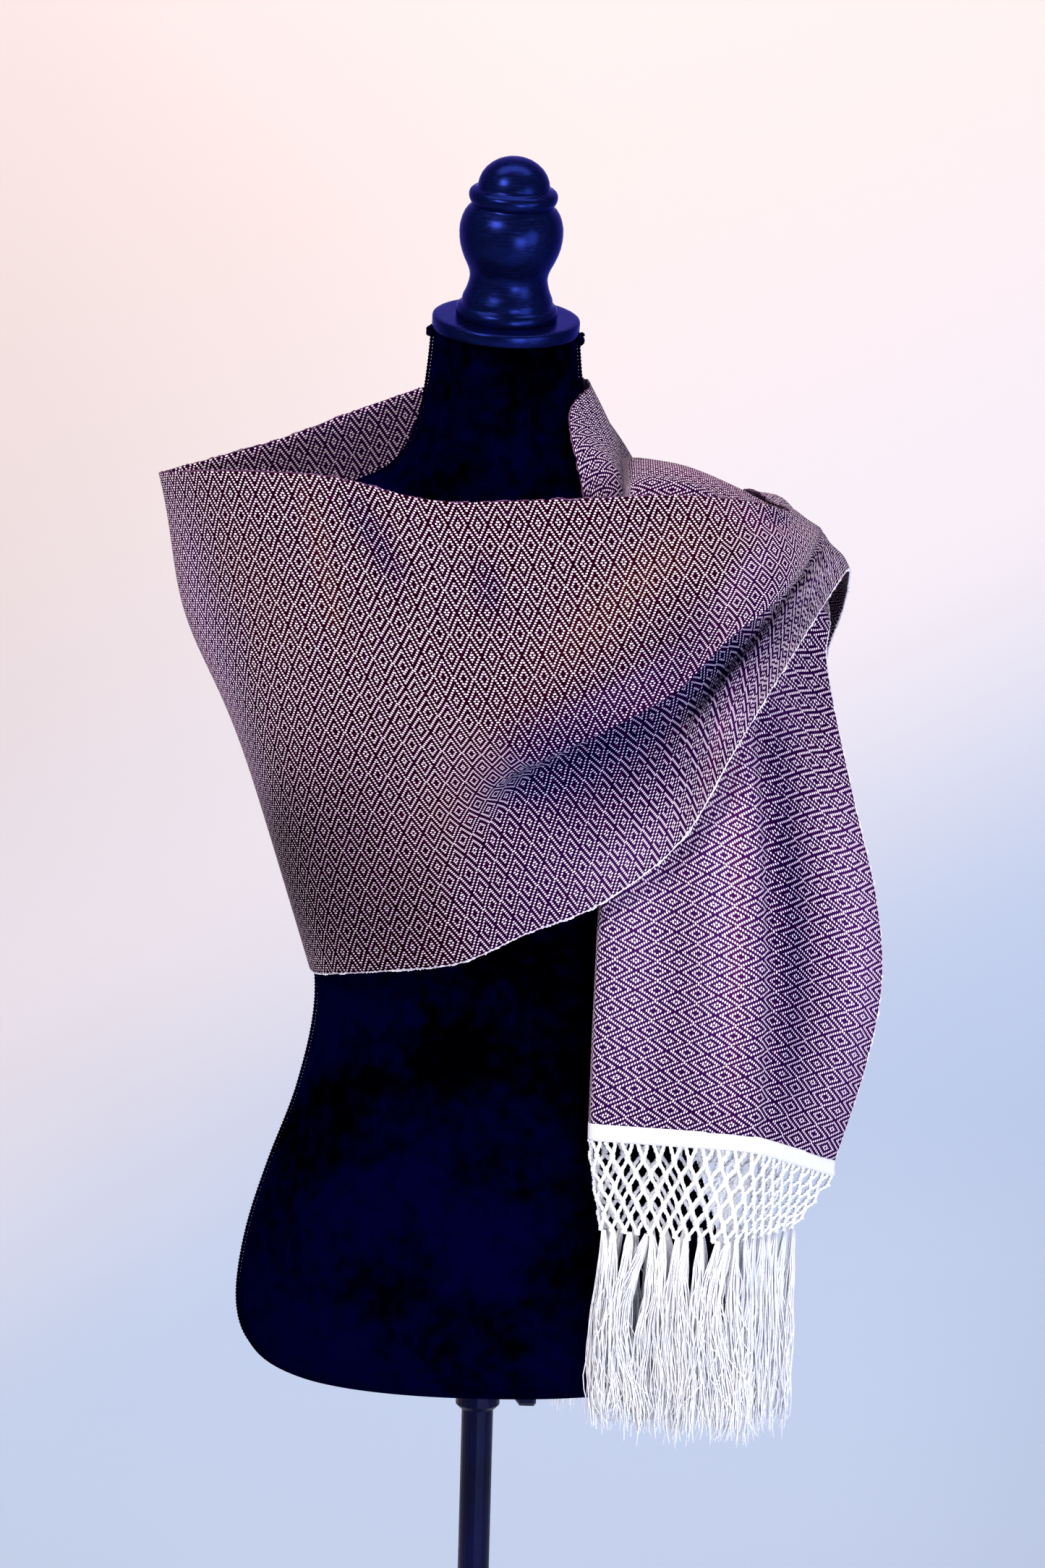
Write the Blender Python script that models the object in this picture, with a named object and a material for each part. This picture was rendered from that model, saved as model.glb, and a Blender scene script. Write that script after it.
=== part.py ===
# A rebozo (narrow woven shawl) draped on a limbless dress form on a clamped pole stand.
# Metres, +Z up. +X is the viewer's right, the front of the form faces -Y, and the
# origin lies on the floor under the middle of the base plate.
import math

import bpy
import bmesh
from mathutils import Matrix, Vector

# Cloth
WALL = 0.0020
SEAM_GAP = 0.0003
SAMPLES = 100
CORNER_STEPS = 6
FOLD_STEPS = 6
# Steps along and across the cloth for its slopes
SHAPE_STEP = 0.02
WALL_STEP = 0.01
END_STEP = 0.006

# Share of the cloth's width, from the top selvage, at which the front end turns under,
# ends its turn and breaks at its ridge; the last is the lower selvage
TURN_START = 0.31
TURN_END = 0.345
RIDGE_AT = 0.70
# Panels across the cloth before, in and after the turn, and beyond the ridge
PANELS = ((0.0, 6), (TURN_START, 3), (TURN_END, 10), (RIDGE_AT, 7))

# Front end: a fall with its inner edge turned under
TURN_Y = -0.1175
TURN_DEPTH = 0.012
TURN_RADIUS = 0.0055
RIDGE_RADIUS = 0.014
RIDGE_LIFT = 0.003

# Heading, net and fringe, top to bottom
HEADING_TALL = 0.012
STRIP_TALL = 0.007
LOCK_LONG = 0.140
LOCK_UNEVEN = 0.008
LOCKS = 84
HEADING_THICK = 0.0026
NET_THICK = 0.0024
STRIP_THICK = 0.0032
NET_STEPS = 3
# Size of a lock's waist beside its root, the waist's place along it, and the waves in
# which the locks' ends run uneven: size and turn from lock to lock
LOCK_WAIST = 0.75
WAIST_AT = 0.35
LOCK_WAVES = ((1.0, 2.4), (0.5, 5.1))
TOP_EVERY = 8
# Where each net ends in its knots: the line is drawn in about from_x to middle_x
FRONT_KNOTS = {
    "height": 0.9450,
    "from_x": 0.1650,
    "middle_x": 0.1570,
    "narrowing": 0.790,
    "back": 0.15,
    "spread": 0.02,
}
BACK_KNOTS = {
    "height": 0.8800,
    "from_x": 0.1440,
    "middle_x": 0.1400,
    "narrowing": 0.85,
    "back": 0.0,
    "spread": 0.03,
}

# Form and stand
NECK_TOP = 1.5900
BORE_RADIUS = 0.0132
BORE_TOP = 1.350
TORSO_SIDES = 36
# Corner fullness of the torso's rings; rings above ROUND_ABOVE are true ellipses
SQUARENESS = 2.2
ROUND_ABOVE = 1.475
CAP_RADIUS = 0.0545
CAP_THICK = 0.0100
POLE_RADIUS = 0.0120
POLE_TOP = 1.130
COLLAR_RADIUS = 0.0168
COLLAR_LOW = 0.7715
COLLAR_EASE = 0.0035
BOSS_RADIUS = 0.0065
BOSS_REACH = 0.0255
KNOB_HEIGHT = 0.7850
KNOB_RADIUS = 0.0110
KNOB_NEAR = 0.0280
KNOB_FAR = 0.0445
SCREW_RADIUS = 0.0028
BOSS_EASE = 0.001
BASE_RADIUS = 0.160
BASE_THICK = 0.014
SOCKET_RADIUS = 0.0230
SOCKET_TALL = 0.050
FIT = 0.0003
SLIDE_FIT = 0.0004

# Torso rings: height, half width, depth to the front, depth to the back
TORSO_RINGS = (
    (0.8000, 0.130, 0.075, 0.083),
    (0.8035, 0.150, 0.086, 0.095),
    (0.8150, 0.170, 0.099, 0.109),
    (0.8350, 0.1815, 0.108, 0.119),
    (0.8650, 0.1840, 0.111, 0.121),
    (0.9100, 0.1770, 0.107, 0.116),
    (0.9600, 0.1620, 0.101, 0.106),
    (1.0200, 0.1410, 0.094, 0.092),
    (1.0850, 0.1290, 0.090, 0.084),
    (1.1500, 0.1350, 0.098, 0.087),
    (1.2100, 0.1450, 0.114, 0.097),
    (1.2700, 0.1560, 0.1312, 0.1075),
    (1.3200, 0.1640, 0.1275, 0.1120),
    (1.3650, 0.1720, 0.1115, 0.1075),
    (1.4020, 0.1720, 0.0990, 0.0995),
    (1.4320, 0.1610, 0.0845, 0.0925),
    (1.4540, 0.1430, 0.0740, 0.0835),
    (1.4690, 0.1200, 0.0680, 0.0745),
    (1.4790, 0.0980, 0.064, 0.067),
    (1.4890, 0.0810, 0.061, 0.063),
    (1.5050, 0.0690, 0.0585, 0.0600),
    (1.5300, 0.0600, 0.0560, 0.0570),
    (1.5600, 0.0555, 0.0540, 0.0545),
    (1.5900, 0.0530, 0.0530, 0.0530),
)
# The neck leans: its top plane falls to the front and to the viewer's right
LEAN_FROM = 1.520
LEAN_FRONT = math.radians(13.5)
LEAN_RIGHT = math.radians(2.0)

# Cap outline: share of the height, inset of the edge
CAP_OUTLINE = ((0.0, 0.0010), (0.12, 0.0), (0.85, 0.0), (1.0, 0.0015))
# Base outline, the same; socket outline: share of the height, share of the radius
BASE_OUTLINE = ((0.0, 0.002), (0.14, 0.0), (0.55, 0.0), (0.85, 0.006), (1.0, 0.018))
SOCKET_OUTLINE = ((0.0, 1.0), (0.25, 0.86), (0.85, 0.70), (1.0, 0.62))
# Knob outline from its inner to its outer face: share of the length, share of the radius
KNOB_OUTLINE = ((0.0, 0.55), (0.24, 1.0), (0.88, 1.0), (1.0, 0.82))

# Finial outline above the cap: height above the cap's top, radius
FINIAL_OUTLINE = (
    (0.0000, 0.0370),
    (0.0040, 0.0375),
    (0.0085, 0.0360),
    (0.0100, 0.0335),
    (0.0150, 0.0330),
    (0.0220, 0.0300),
    (0.0300, 0.0285),
    (0.0380, 0.0310),
    (0.0480, 0.0355),
    (0.0580, 0.0378),
    (0.0680, 0.0378),
    (0.0770, 0.0350),
    (0.0830, 0.0300),
    (0.0870, 0.0312),
    (0.0905, 0.0325),
    (0.0940, 0.0312),
    (0.0965, 0.0265),
    (0.1020, 0.0255),
    (0.1100, 0.0210),
    (0.1160, 0.0130),
    (0.1185, 0.0050),
)

# Front fall, from its heading up: height, x of the turned edge, top selvage x and y on
# the under layer, ridge x and y, outer selvage x and y, drop of the outer selvage
FALL_ROWS = (
    (1.0230, 0.0765, 0.200, -0.1170, 0.1930, -0.166, 0.2575, -0.102, 0.028),
    (1.0800, 0.0770, 0.198, -0.1170, 0.1925, -0.166, 0.2775, -0.101, 0.014),
    (1.1350, 0.0780, 0.194, -0.1170, 0.1915, -0.164, 0.2870, -0.100, 0.006),
    (1.1900, 0.0790, 0.186, -0.1170, 0.1895, -0.160, 0.2810, -0.098, 0.002),
    (1.2500, 0.0800, 0.170, -0.1165, 0.1870, -0.151, 0.2650, -0.092, 0.000),
    (1.3100, 0.0815, 0.130, -0.1155, 0.1820, -0.138, 0.2500, -0.083, 0.000),
    (1.3600, 0.0830, 0.090, -0.1005, 0.1760, -0.124, 0.2400, -0.072, 0.000),
)

# Under layer on the shoulder, from the neck selvage outwards: x, y, z, the fold's share
# of the climb round the neck, and its share of the hollow beside the dome
SHOULDER_FOLDS = (
    ("neck selvage", 0.0625, 0.002, 1.5490, 1.00, 0.0),
    ("band", 0.0740, 0.002, 1.5300, 0.60, 0.0),
    ("valley side", 0.0845, 0.002, 1.5080, 0.20, 0.6),
    ("valley", 0.0890, 0.000, 1.4875, 0.00, 1.0),
    ("dome side", 0.0950, -0.003, 1.4905, 0.00, 0.8),
    ("dome", 0.1070, -0.004, 1.4940, 0.00, 0.4),
    ("dome top", 0.1350, -0.004, 1.4915, 0.00, 0.0),
    ("dome slope", 0.1650, -0.002, 1.4790, 0.00, 0.0),
    ("shoulder end", 0.1950, 0.000, 1.4630, 0.00, 0.0),
    ("drop", 0.2220, 0.000, 1.4430, 0.00, 0.0),
    ("outer selvage", 0.2420, 0.000, 1.4040, 0.00, 0.0),
)
# The same folds in front of the shoulder, on its rise, on top and behind it: move along
# y and z, the climb along x, y and z, and the rise of the hollow
SHOULDER_MOVES = (
    ("front", -0.062, -0.021, -0.0040, -0.020, -0.046, 0.0),
    ("rise", -0.032, -0.006, -0.0140, -0.010, -0.012, 0.0),
    ("top", 0.000, 0.000, 0.0000, 0.000, 0.000, 0.0),
    ("back", 0.044, -0.006, -0.0030, 0.002, 0.010, 0.013),
)

# Open stretches: name, top selvage x y z, lower selvage x y z, bow outwards,
# place and reach of the overhanging fold, depth of the hanging folds
OPEN_ROWS = (
    ("nape right", 0.0480, 0.062, 1.553, 0.205, 0.092, 1.300, 0.010, 0.5, 0.0, 0.0),
    ("nape", 0.0100, 0.076, 1.557, 0.150, 0.108, 1.220, 0.012, 0.5, 0.0, 0.0),
    ("back middle", -0.0450, 0.080, 1.547, 0.060, 0.114, 1.165, 0.012, 0.5, 0.0, 0.002),
    ("back left", -0.1050, 0.083, 1.526, -0.025, 0.112, 1.138, 0.010, 0.5, 0.0, 0.003),
    ("blade left", -0.1650, 0.074, 1.502, -0.0900, 0.098, 1.122, 0.008, 0.3, 0.0, 0.002),
    ("turn back", -0.2150, 0.050, 1.487, -0.1220, 0.068, 1.115, 0.002, 0.32, 0.006, 0.0),
    ("turn", -0.2520, 0.008, 1.478, -0.1340, 0.008, 1.112, 0.000, 0.32, 0.013, 0.0),
    ("turn front", -0.2330, -0.042, 1.482, -0.1280, -0.048, 1.114, 0.002, 0.32, 0.006, 0.0),
    ("chest left", -0.1900, -0.080, 1.486, -0.1060, -0.086, 1.121, 0.008, 0.3, 0.0, 0.0),
    ("crease", -0.1200, -0.104, 1.485, -0.0680, -0.106, 1.128, 0.014, 0.5, 0.0, 0.0),
    ("chest middle", -0.0500, -0.110, 1.471, -0.0200, -0.118, 1.137, 0.017, 0.6, 0.0, 0.0),
    ("chest", 0.0100, -0.111, 1.472, 0.0280, -0.130, 1.162, 0.016, 0.58, 0.003, 0.0),
    ("chest right", 0.0750, -0.107, 1.476, 0.0800, -0.146, 1.188, 0.016, 0.52, 0.009, 0.0),
    ("fold", 0.1350, -0.097, 1.478, 0.1350, -0.158, 1.236, 0.016, 0.47, 0.018, 0.0),
    ("shoulder front", 0.1830, -0.074, 1.473, 0.1720, -0.166, 1.305, 0.014, 0.42, 0.022, 0.0),
    ("gather", 0.2060, -0.050, 1.466, 0.2110, -0.132, 1.368, 0.008, 0.38, 0.014, 0.0),
    ("corner", 0.2130, -0.022, 1.464, 0.2520, -0.055, 1.421, 0.004, 0.36, 0.004, 0.0),
    ("shoulder top", 0.2020, 0.016, 1.467, 0.2600, 0.002, 1.410, 0.006, 0.5, 0.0, 0.002),
    ("over", 0.1780, 0.064, 1.470, 0.2600, 0.054, 1.384, 0.010, 0.5, 0.0, 0.005),
    ("blade right", 0.1350, 0.114, 1.410, 0.2500, 0.100, 1.332, 0.010, 0.5, 0.0, 0.011),
    ("fall back", 0.0950, 0.129, 1.310, 0.2460, 0.118, 1.255, 0.006, 0.5, 0.0, 0.015),
    ("back high", 0.0680, 0.131, 1.200, 0.2480, 0.127, 1.160, 0.002, 0.5, 0.0, 0.017),
    ("back low", 0.0530, 0.133, 1.080, 0.2450, 0.130, 1.055, 0.000, 0.5, 0.0, 0.018),
    ("back heading", 0.0480, 0.134, 0.9620, 0.2400, 0.132, 0.9560, 0.000, 0.5, 0.0, 0.018),
)
HANGING_FOLDS = 3

# The overhanging fold's shape, as shares of the cloth's width
FOLD_ABOVE = 0.16
FOLD_BELOW = 0.100
VALLEY_SHARE = 0.35
VALLEY_OFF = 0.17
VALLEY_WIDE = 0.08
FOLD_SAG = 0.50
SAG_WIDE = 0.13

# Stretches of the one strip: name, first and last row, rows of panels
STRETCHES = (
    ("cloth_front_end", 0, 6, 12),
    ("cloth_shoulder_under", 6, 11, 12),
    ("cloth_back_wrap", 11, 16, 8),
    ("cloth_left_turn", 16, 19, 7),
    ("cloth_front_panel", 19, 28, 18),
    ("cloth_shoulder_throw", 28, 31, 8),
    ("cloth_back_end", 31, 34, 7),
)

# Colours and finishes: colour, roughness, metallic
FINISHES = {
    "rebozo_cloth": ((0.110, 0.028, 0.130), 0.80, 0.0),
    "white_yarn": ((0.86, 0.84, 0.86), 0.85, 0.0),
    "navy_velvet": ((0.006, 0.006, 0.030), 0.90, 0.0),
    "navy_lacquer": ((0.008, 0.009, 0.045), 0.22, 0.0),
    "navy_metal": ((0.010, 0.010, 0.045), 0.38, 0.6),
}


def clear_scene():
    for obj in list(bpy.data.objects):
        bpy.data.objects.remove(obj, do_unlink=True)


def finish(name):
    found = bpy.data.materials.get(name)
    if found:
        return found
    colour, roughness, metallic = FINISHES[name]
    made = bpy.data.materials.new(name)
    made.use_nodes = True
    shader = made.node_tree.nodes["Principled BSDF"]
    shader.inputs["Base Color"].default_value = (*colour, 1.0)
    shader.inputs["Roughness"].default_value = roughness
    shader.inputs["Metallic"].default_value = metallic
    made.diffuse_color = (*colour, 1.0)
    return made


def add_object(name, bm, finish_name, smooth_angle=40.0):
    bm.normal_update()
    mesh = bpy.data.meshes.new(name)
    bm.to_mesh(mesh)
    bm.free()
    mesh.materials.append(finish(finish_name))
    mesh.shade_smooth()
    mesh.set_sharp_from_angle(angle=math.radians(smooth_angle))
    obj = bpy.data.objects.new(name, mesh)
    bpy.context.scene.collection.objects.link(obj)
    return obj


def blend_rows(before, start, end, after, part):
    # Catmull-Rom curve through the four, part of the way from start to end
    square = part * part
    cube = square * part
    return 0.5 * (
        2.0 * start
        + (end - before) * part
        + (2.0 * before - 5.0 * start + 4.0 * end - after) * square
        + (3.0 * start - 3.0 * end + after - before) * cube
    )


def four_rows(count, place):
    low = min(max(int(math.floor(place)), 0), count - 2)
    rows = (max(low - 1, 0), low, low + 1, min(low + 2, count - 1))
    return rows, place - low


def rounded_path(corners, radii):
    # A line through the corners with each inner corner rounded by a short curve
    path = [corners[0]]
    marks = []
    for i in range(1, len(corners) - 1):
        here = corners[i]
        back = corners[i - 1] - here
        ahead = corners[i + 1] - here
        reach = min(radii[i - 1], 0.49 * back.length, 0.49 * ahead.length)
        enter = here + back.normalized() * reach
        leave = here + ahead.normalized() * reach
        for k in range(CORNER_STEPS + 1):
            w = k / CORNER_STEPS
            path.append(enter * (1 - w) ** 2 + here * 2 * w * (1 - w) + leave * w * w)
        marks.append(len(path) - 1 - CORNER_STEPS // 2)
    path.append(corners[-1])
    return path, marks


def spread_samples(path, marks, shares):
    # The path's points spread evenly between its marked points, which lie at the shares
    lengths = [0.0]
    for start, end in zip(path, path[1:]):
        lengths.append(lengths[-1] + (end - start).length)
    stops = [0.0] + [lengths[mark] for mark in marks] + [lengths[-1]]
    places = [0.0] + list(shares) + [1.0]
    samples = []
    k = 0
    m = 0
    for i in range(SAMPLES + 1):
        share = i / SAMPLES
        while m < len(places) - 2 and places[m + 1] < share:
            m += 1
        part = (share - places[m]) / (places[m + 1] - places[m])
        want = stops[m] + (stops[m + 1] - stops[m]) * part
        while k < len(path) - 2 and lengths[k + 1] < want:
            k += 1
        span = lengths[k + 1] - lengths[k]
        part = (want - lengths[k]) / span if span > 0 else 0.0
        samples.append(path[k].lerp(path[k + 1], min(max(part, 0.0), 1.0)))
    return samples


def fall_section(row):
    height, turn_x, top_x, top_y, ridge_x, ridge_y, outer_x, outer_y, drop = row
    corners = (
        Vector((top_x, top_y, height)),
        Vector((turn_x, TURN_Y, height)),
        Vector((turn_x, TURN_Y - TURN_DEPTH, height)),
        Vector((ridge_x, ridge_y, height + RIDGE_LIFT)),
        Vector((outer_x, outer_y, height - drop)),
    )
    path, marks = rounded_path(corners, (TURN_RADIUS, TURN_RADIUS, RIDGE_RADIUS))
    return spread_samples(path, marks, (TURN_START, TURN_END, RIDGE_AT))


def shoulder_section(move):
    _, move_y, move_z, climb_x, climb_y, climb_z, rise = move
    points = []
    for _, x, y, z, climb, hollow in SHOULDER_FOLDS:
        shift = Vector((climb * climb_x, move_y + climb * climb_y, move_z + climb * climb_z))
        points.append(Vector((x, y, z + hollow * rise)) + shift)
    valley = [row[0] for row in SHOULDER_FOLDS].index("valley")
    path = []
    for i in range(len(points) - 1):
        rows, _ = four_rows(len(points), i)
        for k in range(FOLD_STEPS):
            path.append(blend_rows(*[points[r] for r in rows], k / FOLD_STEPS))
    path.append(points[-1])
    return spread_samples(path, [valley * FOLD_STEPS], [0.5 * (TURN_START + TURN_END)])


def open_section(row):
    top = Vector(row[1:4])
    low = Vector(row[4:7])
    return [top.lerp(low, i / SAMPLES) for i in range(SAMPLES + 1)]


def cloth_sections():
    sections = [fall_section(row) for row in FALL_ROWS]
    sections.extend(shoulder_section(move) for move in SHOULDER_MOVES)
    sections.extend(open_section(row) for row in OPEN_ROWS)
    return sections


SECTIONS = cloth_sections()
CLOSED_ROWS = len(FALL_ROWS) + len(SHOULDER_MOVES)
FORMS = [(0.0, 0.5, 0.0, 0.0)] * CLOSED_ROWS + [row[7:] for row in OPEN_ROWS]


def base_point(place, share):
    # place runs along the strip in rows, share runs across it from the top selvage
    rows, part = four_rows(len(SECTIONS), place)
    at = min(max(share, 0.0), 1.0) * SAMPLES
    low = min(int(at), SAMPLES - 1)
    spots = [SECTIONS[r][low].lerp(SECTIONS[r][low + 1], at - low) for r in rows]
    return blend_rows(*spots, part)


def outward(place, share):
    step = SHAPE_STEP
    ahead = min(place + step, len(SECTIONS) - 1.0)
    behind = max(place - step, 0.0)
    travel = base_point(ahead, share) - base_point(behind, share)
    across = base_point(place, min(share + step, 1.0)) - base_point(place, max(share - step, 0.0))
    return across.cross(travel).normalized(), across.normalized()


def cloth_point(place, share):
    rows, part = four_rows(len(SECTIONS), place)
    columns = []
    for column in range(4):
        columns.append(blend_rows(*[FORMS[r][column] for r in rows], part))
    bow, fold_at, fold_out, hang = columns
    normal, down = outward(place, share)
    off = share - fold_at
    width = FOLD_ABOVE if off < 0 else FOLD_BELOW
    ridge = math.exp(-((off / width) ** 2))
    valley = math.exp(-(((off - VALLEY_OFF) / VALLEY_WIDE) ** 2))
    lift = bow * 4.0 * share * (1.0 - share)
    lift += fold_out * (ridge - VALLEY_SHARE * valley)
    lift += hang * (1.0 - math.cos(2.0 * math.pi * HANGING_FOLDS * share))
    sag = fold_out * FOLD_SAG * math.exp(-((off / SAG_WIDE) ** 2))
    return base_point(place, share) + normal * lift + down * sag


def panel_shares():
    shares = []
    starts = [start for start, _ in PANELS] + [1.0]
    for (start, count), end in zip(PANELS, starts[1:]):
        shares.extend(start + (end - start) * k / count for k in range(count))
    return shares + [1.0]


def face_normal(point_at, place, share, limit):
    step = WALL_STEP
    travel = point_at(min(place + step, limit), share) - point_at(max(place - step, 0.0), share)
    across = point_at(place, min(share + step, 1.0)) - point_at(place, max(share - step, 0.0))
    return across.cross(travel).normalized()


def travel_at(place, share):
    step = WALL_STEP
    ahead = cloth_point(min(place + step, len(SECTIONS) - 1.0), share)
    return (ahead - cloth_point(max(place - step, 0.0), share)).normalized()


def closed_wall(name, rows, half, finish_name):
    # rows holds (point, normal) pairs; the wall stands half on each side of the points
    bm = bmesh.new()
    sides = []
    for sign in (1.0, -1.0):
        grid = []
        for row in rows:
            grid.append([bm.verts.new(point + normal * half * sign) for point, normal in row])
        sides.append(grid)
    front, back = sides
    high = len(rows) - 1
    wide = len(rows[0]) - 1
    for i in range(high):
        for j in range(wide):
            bm.faces.new((front[i][j], front[i][j + 1], front[i + 1][j + 1], front[i + 1][j]))
            bm.faces.new((back[i + 1][j], back[i + 1][j + 1], back[i][j + 1], back[i][j]))
    for i in range(high):
        bm.faces.new((front[i + 1][0], back[i + 1][0], back[i][0], front[i][0]))
        bm.faces.new((front[i][wide], back[i][wide], back[i + 1][wide], front[i + 1][wide]))
    for j in range(wide):
        bm.faces.new((front[0][j], back[0][j], back[0][j + 1], front[0][j + 1]))
        bm.faces.new((front[high][j + 1], back[high][j + 1], back[high][j], front[high][j]))
    return add_object(name, bm, finish_name)


def make_cloth():
    limit = len(SECTIONS) - 1.0
    shares = panel_shares()
    for name, first, last, steps in STRETCHES:
        rows = []
        for i in range(steps + 1):
            place = first + (last - first) * i / steps
            # Half the seam gap comes off each end of a stretch
            trim = {0: 0.5, steps: -0.5}.get(i, 0.0) * SEAM_GAP
            row = []
            for share in shares:
                normal = face_normal(cloth_point, place, share, limit)
                point = cloth_point(place, share) + travel_at(place, share) * trim
                row.append((point, normal))
            rows.append(row)
        closed_wall(name, rows, WALL * 0.5, "rebozo_cloth")


def front_net_point(down, share):
    # down runs from 0 at the heading's lower edge to 1 at the knots
    start = cloth_point(0.0, share) - Vector((0.0, 0.0, HEADING_TALL))
    knot = Vector((
        FRONT_KNOTS["middle_x"] + (start.x - FRONT_KNOTS["from_x"]) * FRONT_KNOTS["narrowing"],
        start.y + FRONT_KNOTS["back"] * max(0.0, TURN_Y - start.y),
        FRONT_KNOTS["height"],
    ))
    return start.lerp(knot, down)


def back_net_point(down, share):
    start = cloth_point(len(SECTIONS) - 1.0, share) - Vector((0.0, 0.0, HEADING_TALL))
    knot = Vector((
        BACK_KNOTS["middle_x"] + (start.x - BACK_KNOTS["from_x"]) * BACK_KNOTS["narrowing"],
        start.y,
        BACK_KNOTS["height"],
    ))
    return start.lerp(knot, down)


def plan_normal(point_at, down, share):
    # Level normal of an end's line, on the cloth's outer side
    step = END_STEP
    after = point_at(down, min(share + step, 1.0))
    across = after - point_at(down, max(share - step, 0.0))
    return Vector((across.y, -across.x, 0.0)).normalized()


def make_end(side, point_at, sign, knots):
    shares = panel_shares()
    heading = []
    net = []
    for i in range(2):
        row = []
        for share in shares:
            point = point_at(0.0, share)
            lift = HEADING_TALL * (1 - i) - SEAM_GAP * (1.0 if i == 0 else 0.0)
            normal = plan_normal(point_at, 0.0, share) * sign
            row.append((point + Vector((0.0, 0.0, lift)), normal))
        heading.append(row)
    for i in range(NET_STEPS + 1):
        row = []
        for share in shares:
            point = point_at(i / NET_STEPS, share)
            if i == 0:
                point = point - Vector((0.0, 0.0, SEAM_GAP))
            if i == NET_STEPS:
                point = point + Vector((0.0, 0.0, SEAM_GAP))
            row.append((point, plan_normal(point_at, i / NET_STEPS, share) * sign))
        net.append(row)
    if sign > 0:
        # The front end's cloth climbs from its heading, so its rows go upwards
        heading.reverse()
        net.reverse()
    closed_wall(side + "_heading", heading, HEADING_THICK * 0.5, "white_yarn")
    closed_wall(side + "_net", net, NET_THICK * 0.5, "white_yarn")
    make_fringe(side + "_fringe", point_at, knots)


def make_fringe(name, point_at, knots):
    # A narrow strip of knots with four-sided locks drawn out of its underside
    bm = bmesh.new()
    cells = LOCKS * 2 - 1
    centre = sum((point_at(1.0, j / cells) for j in range(cells + 1)), Vector()) / (cells + 1)
    lines = {}
    for level, lift in (("top", 0.0), ("low", -STRIP_TALL)):
        for sign in (1.0, -1.0):
            line = []
            for j in range(cells + 1):
                if level == "top" and j % TOP_EVERY and j != cells:
                    continue
                share = j / cells
                normal = plan_normal(point_at, 1.0, share)
                point = point_at(1.0, share) + Vector((0.0, 0.0, lift))
                line.append(bm.verts.new(point + normal * STRIP_THICK * 0.5 * sign))
            lines[(level, sign)] = line
    top_front, top_back = lines[("top", 1.0)], lines[("top", -1.0)]
    low_front, low_back = lines[("low", 1.0)], lines[("low", -1.0)]
    for j in range(len(top_front) - 1):
        first = j * TOP_EVERY
        last = min((j + 1) * TOP_EVERY, cells)
        bm.faces.new((top_front[j], top_front[j + 1], top_back[j + 1], top_back[j]))
        bm.faces.new([top_front[j + 1], top_front[j]] + low_front[first:last + 1])
        bm.faces.new([top_back[j], top_back[j + 1]] + low_back[first:last + 1][::-1])
    bm.faces.new((top_front[0], top_back[0], low_back[0], low_front[0]))
    bm.faces.new((top_front[-1], low_front[-1], low_back[-1], top_back[-1]))
    for j in range(cells):
        root = (low_front[j], low_back[j], low_back[j + 1], low_front[j + 1])
        if j % 2:
            bm.faces.new(root)
        else:
            add_lock(bm, root, j // 2, centre, knots)
    bmesh.ops.recalc_face_normals(bm, faces=bm.faces)
    bmesh.ops.triangulate(bm, faces=bm.faces)
    add_object(name, bm, "white_yarn")


def add_lock(bm, root, number, centre, knots):
    # One lock: a ring a little below the root and a point at its end
    middle = sum((vert.co for vert in root), Vector()) / 4.0
    wave = sum(size * math.sin(number * turn) for size, turn in LOCK_WAVES)
    spread = (middle - centre) * knots["spread"]
    spread.z = 0.0
    waist_drop = (Vector((0.0, 0.0, -LOCK_LONG)) + spread) * WAIST_AT
    end = middle + spread + Vector((0.0, 0.0, -LOCK_LONG + LOCK_UNEVEN * wave))
    ring = []
    for vert in root:
        ring.append(bm.verts.new(middle + (vert.co - middle) * LOCK_WAIST + waist_drop))
    tip = bm.verts.new(end)
    for k in range(4):
        after = (k + 1) % 4
        bm.faces.new((root[k], root[after], ring[after], ring[k]))
        bm.faces.new((ring[k], ring[after], tip))


def torso_ring(row):
    height, half_width, front, back = row
    ring = []
    power = 1.0 if height > ROUND_ABOVE else 2.0 / SQUARENESS
    lean = max(0.0, height - LEAN_FROM) / (NECK_TOP - LEAN_FROM)
    for i in range(TORSO_SIDES):
        angle = 2.0 * math.pi * i / TORSO_SIDES
        c = math.cos(angle)
        s = math.sin(angle)
        depth = back if s > 0 else front
        x = half_width * math.copysign(abs(c) ** power, c)
        y = depth * math.copysign(abs(s) ** power, s)
        rise = lean * (y * math.tan(LEAN_FRONT) - x * math.tan(LEAN_RIGHT))
        ring.append(Vector((x, y, height + rise)))
    return ring


def round_ring(radius, height):
    ring = []
    for i in range(TORSO_SIDES):
        angle = 2.0 * math.pi * i / TORSO_SIDES
        ring.append(Vector((radius * math.cos(angle), radius * math.sin(angle), height)))
    return ring


def make_torso():
    # The skin from the neck down, in through the underside and up the pole's bore
    rings = [torso_ring(row) for row in reversed(TORSO_RINGS)]
    rings.append(round_ring(BORE_RADIUS, TORSO_RINGS[0][0]))
    rings.append(round_ring(BORE_RADIUS, BORE_TOP))
    bm = bmesh.new()
    loops = [[bm.verts.new(point) for point in ring] for ring in rings]
    for upper, lower in zip(loops, loops[1:]):
        for i in range(TORSO_SIDES):
            after = (i + 1) % TORSO_SIDES
            bm.faces.new((upper[i], lower[i], lower[after], upper[after]))
    bm.faces.new(loops[0])
    bm.faces.new(loops[-1][::-1])
    add_object("form_torso", bm, "navy_velvet")


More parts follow.
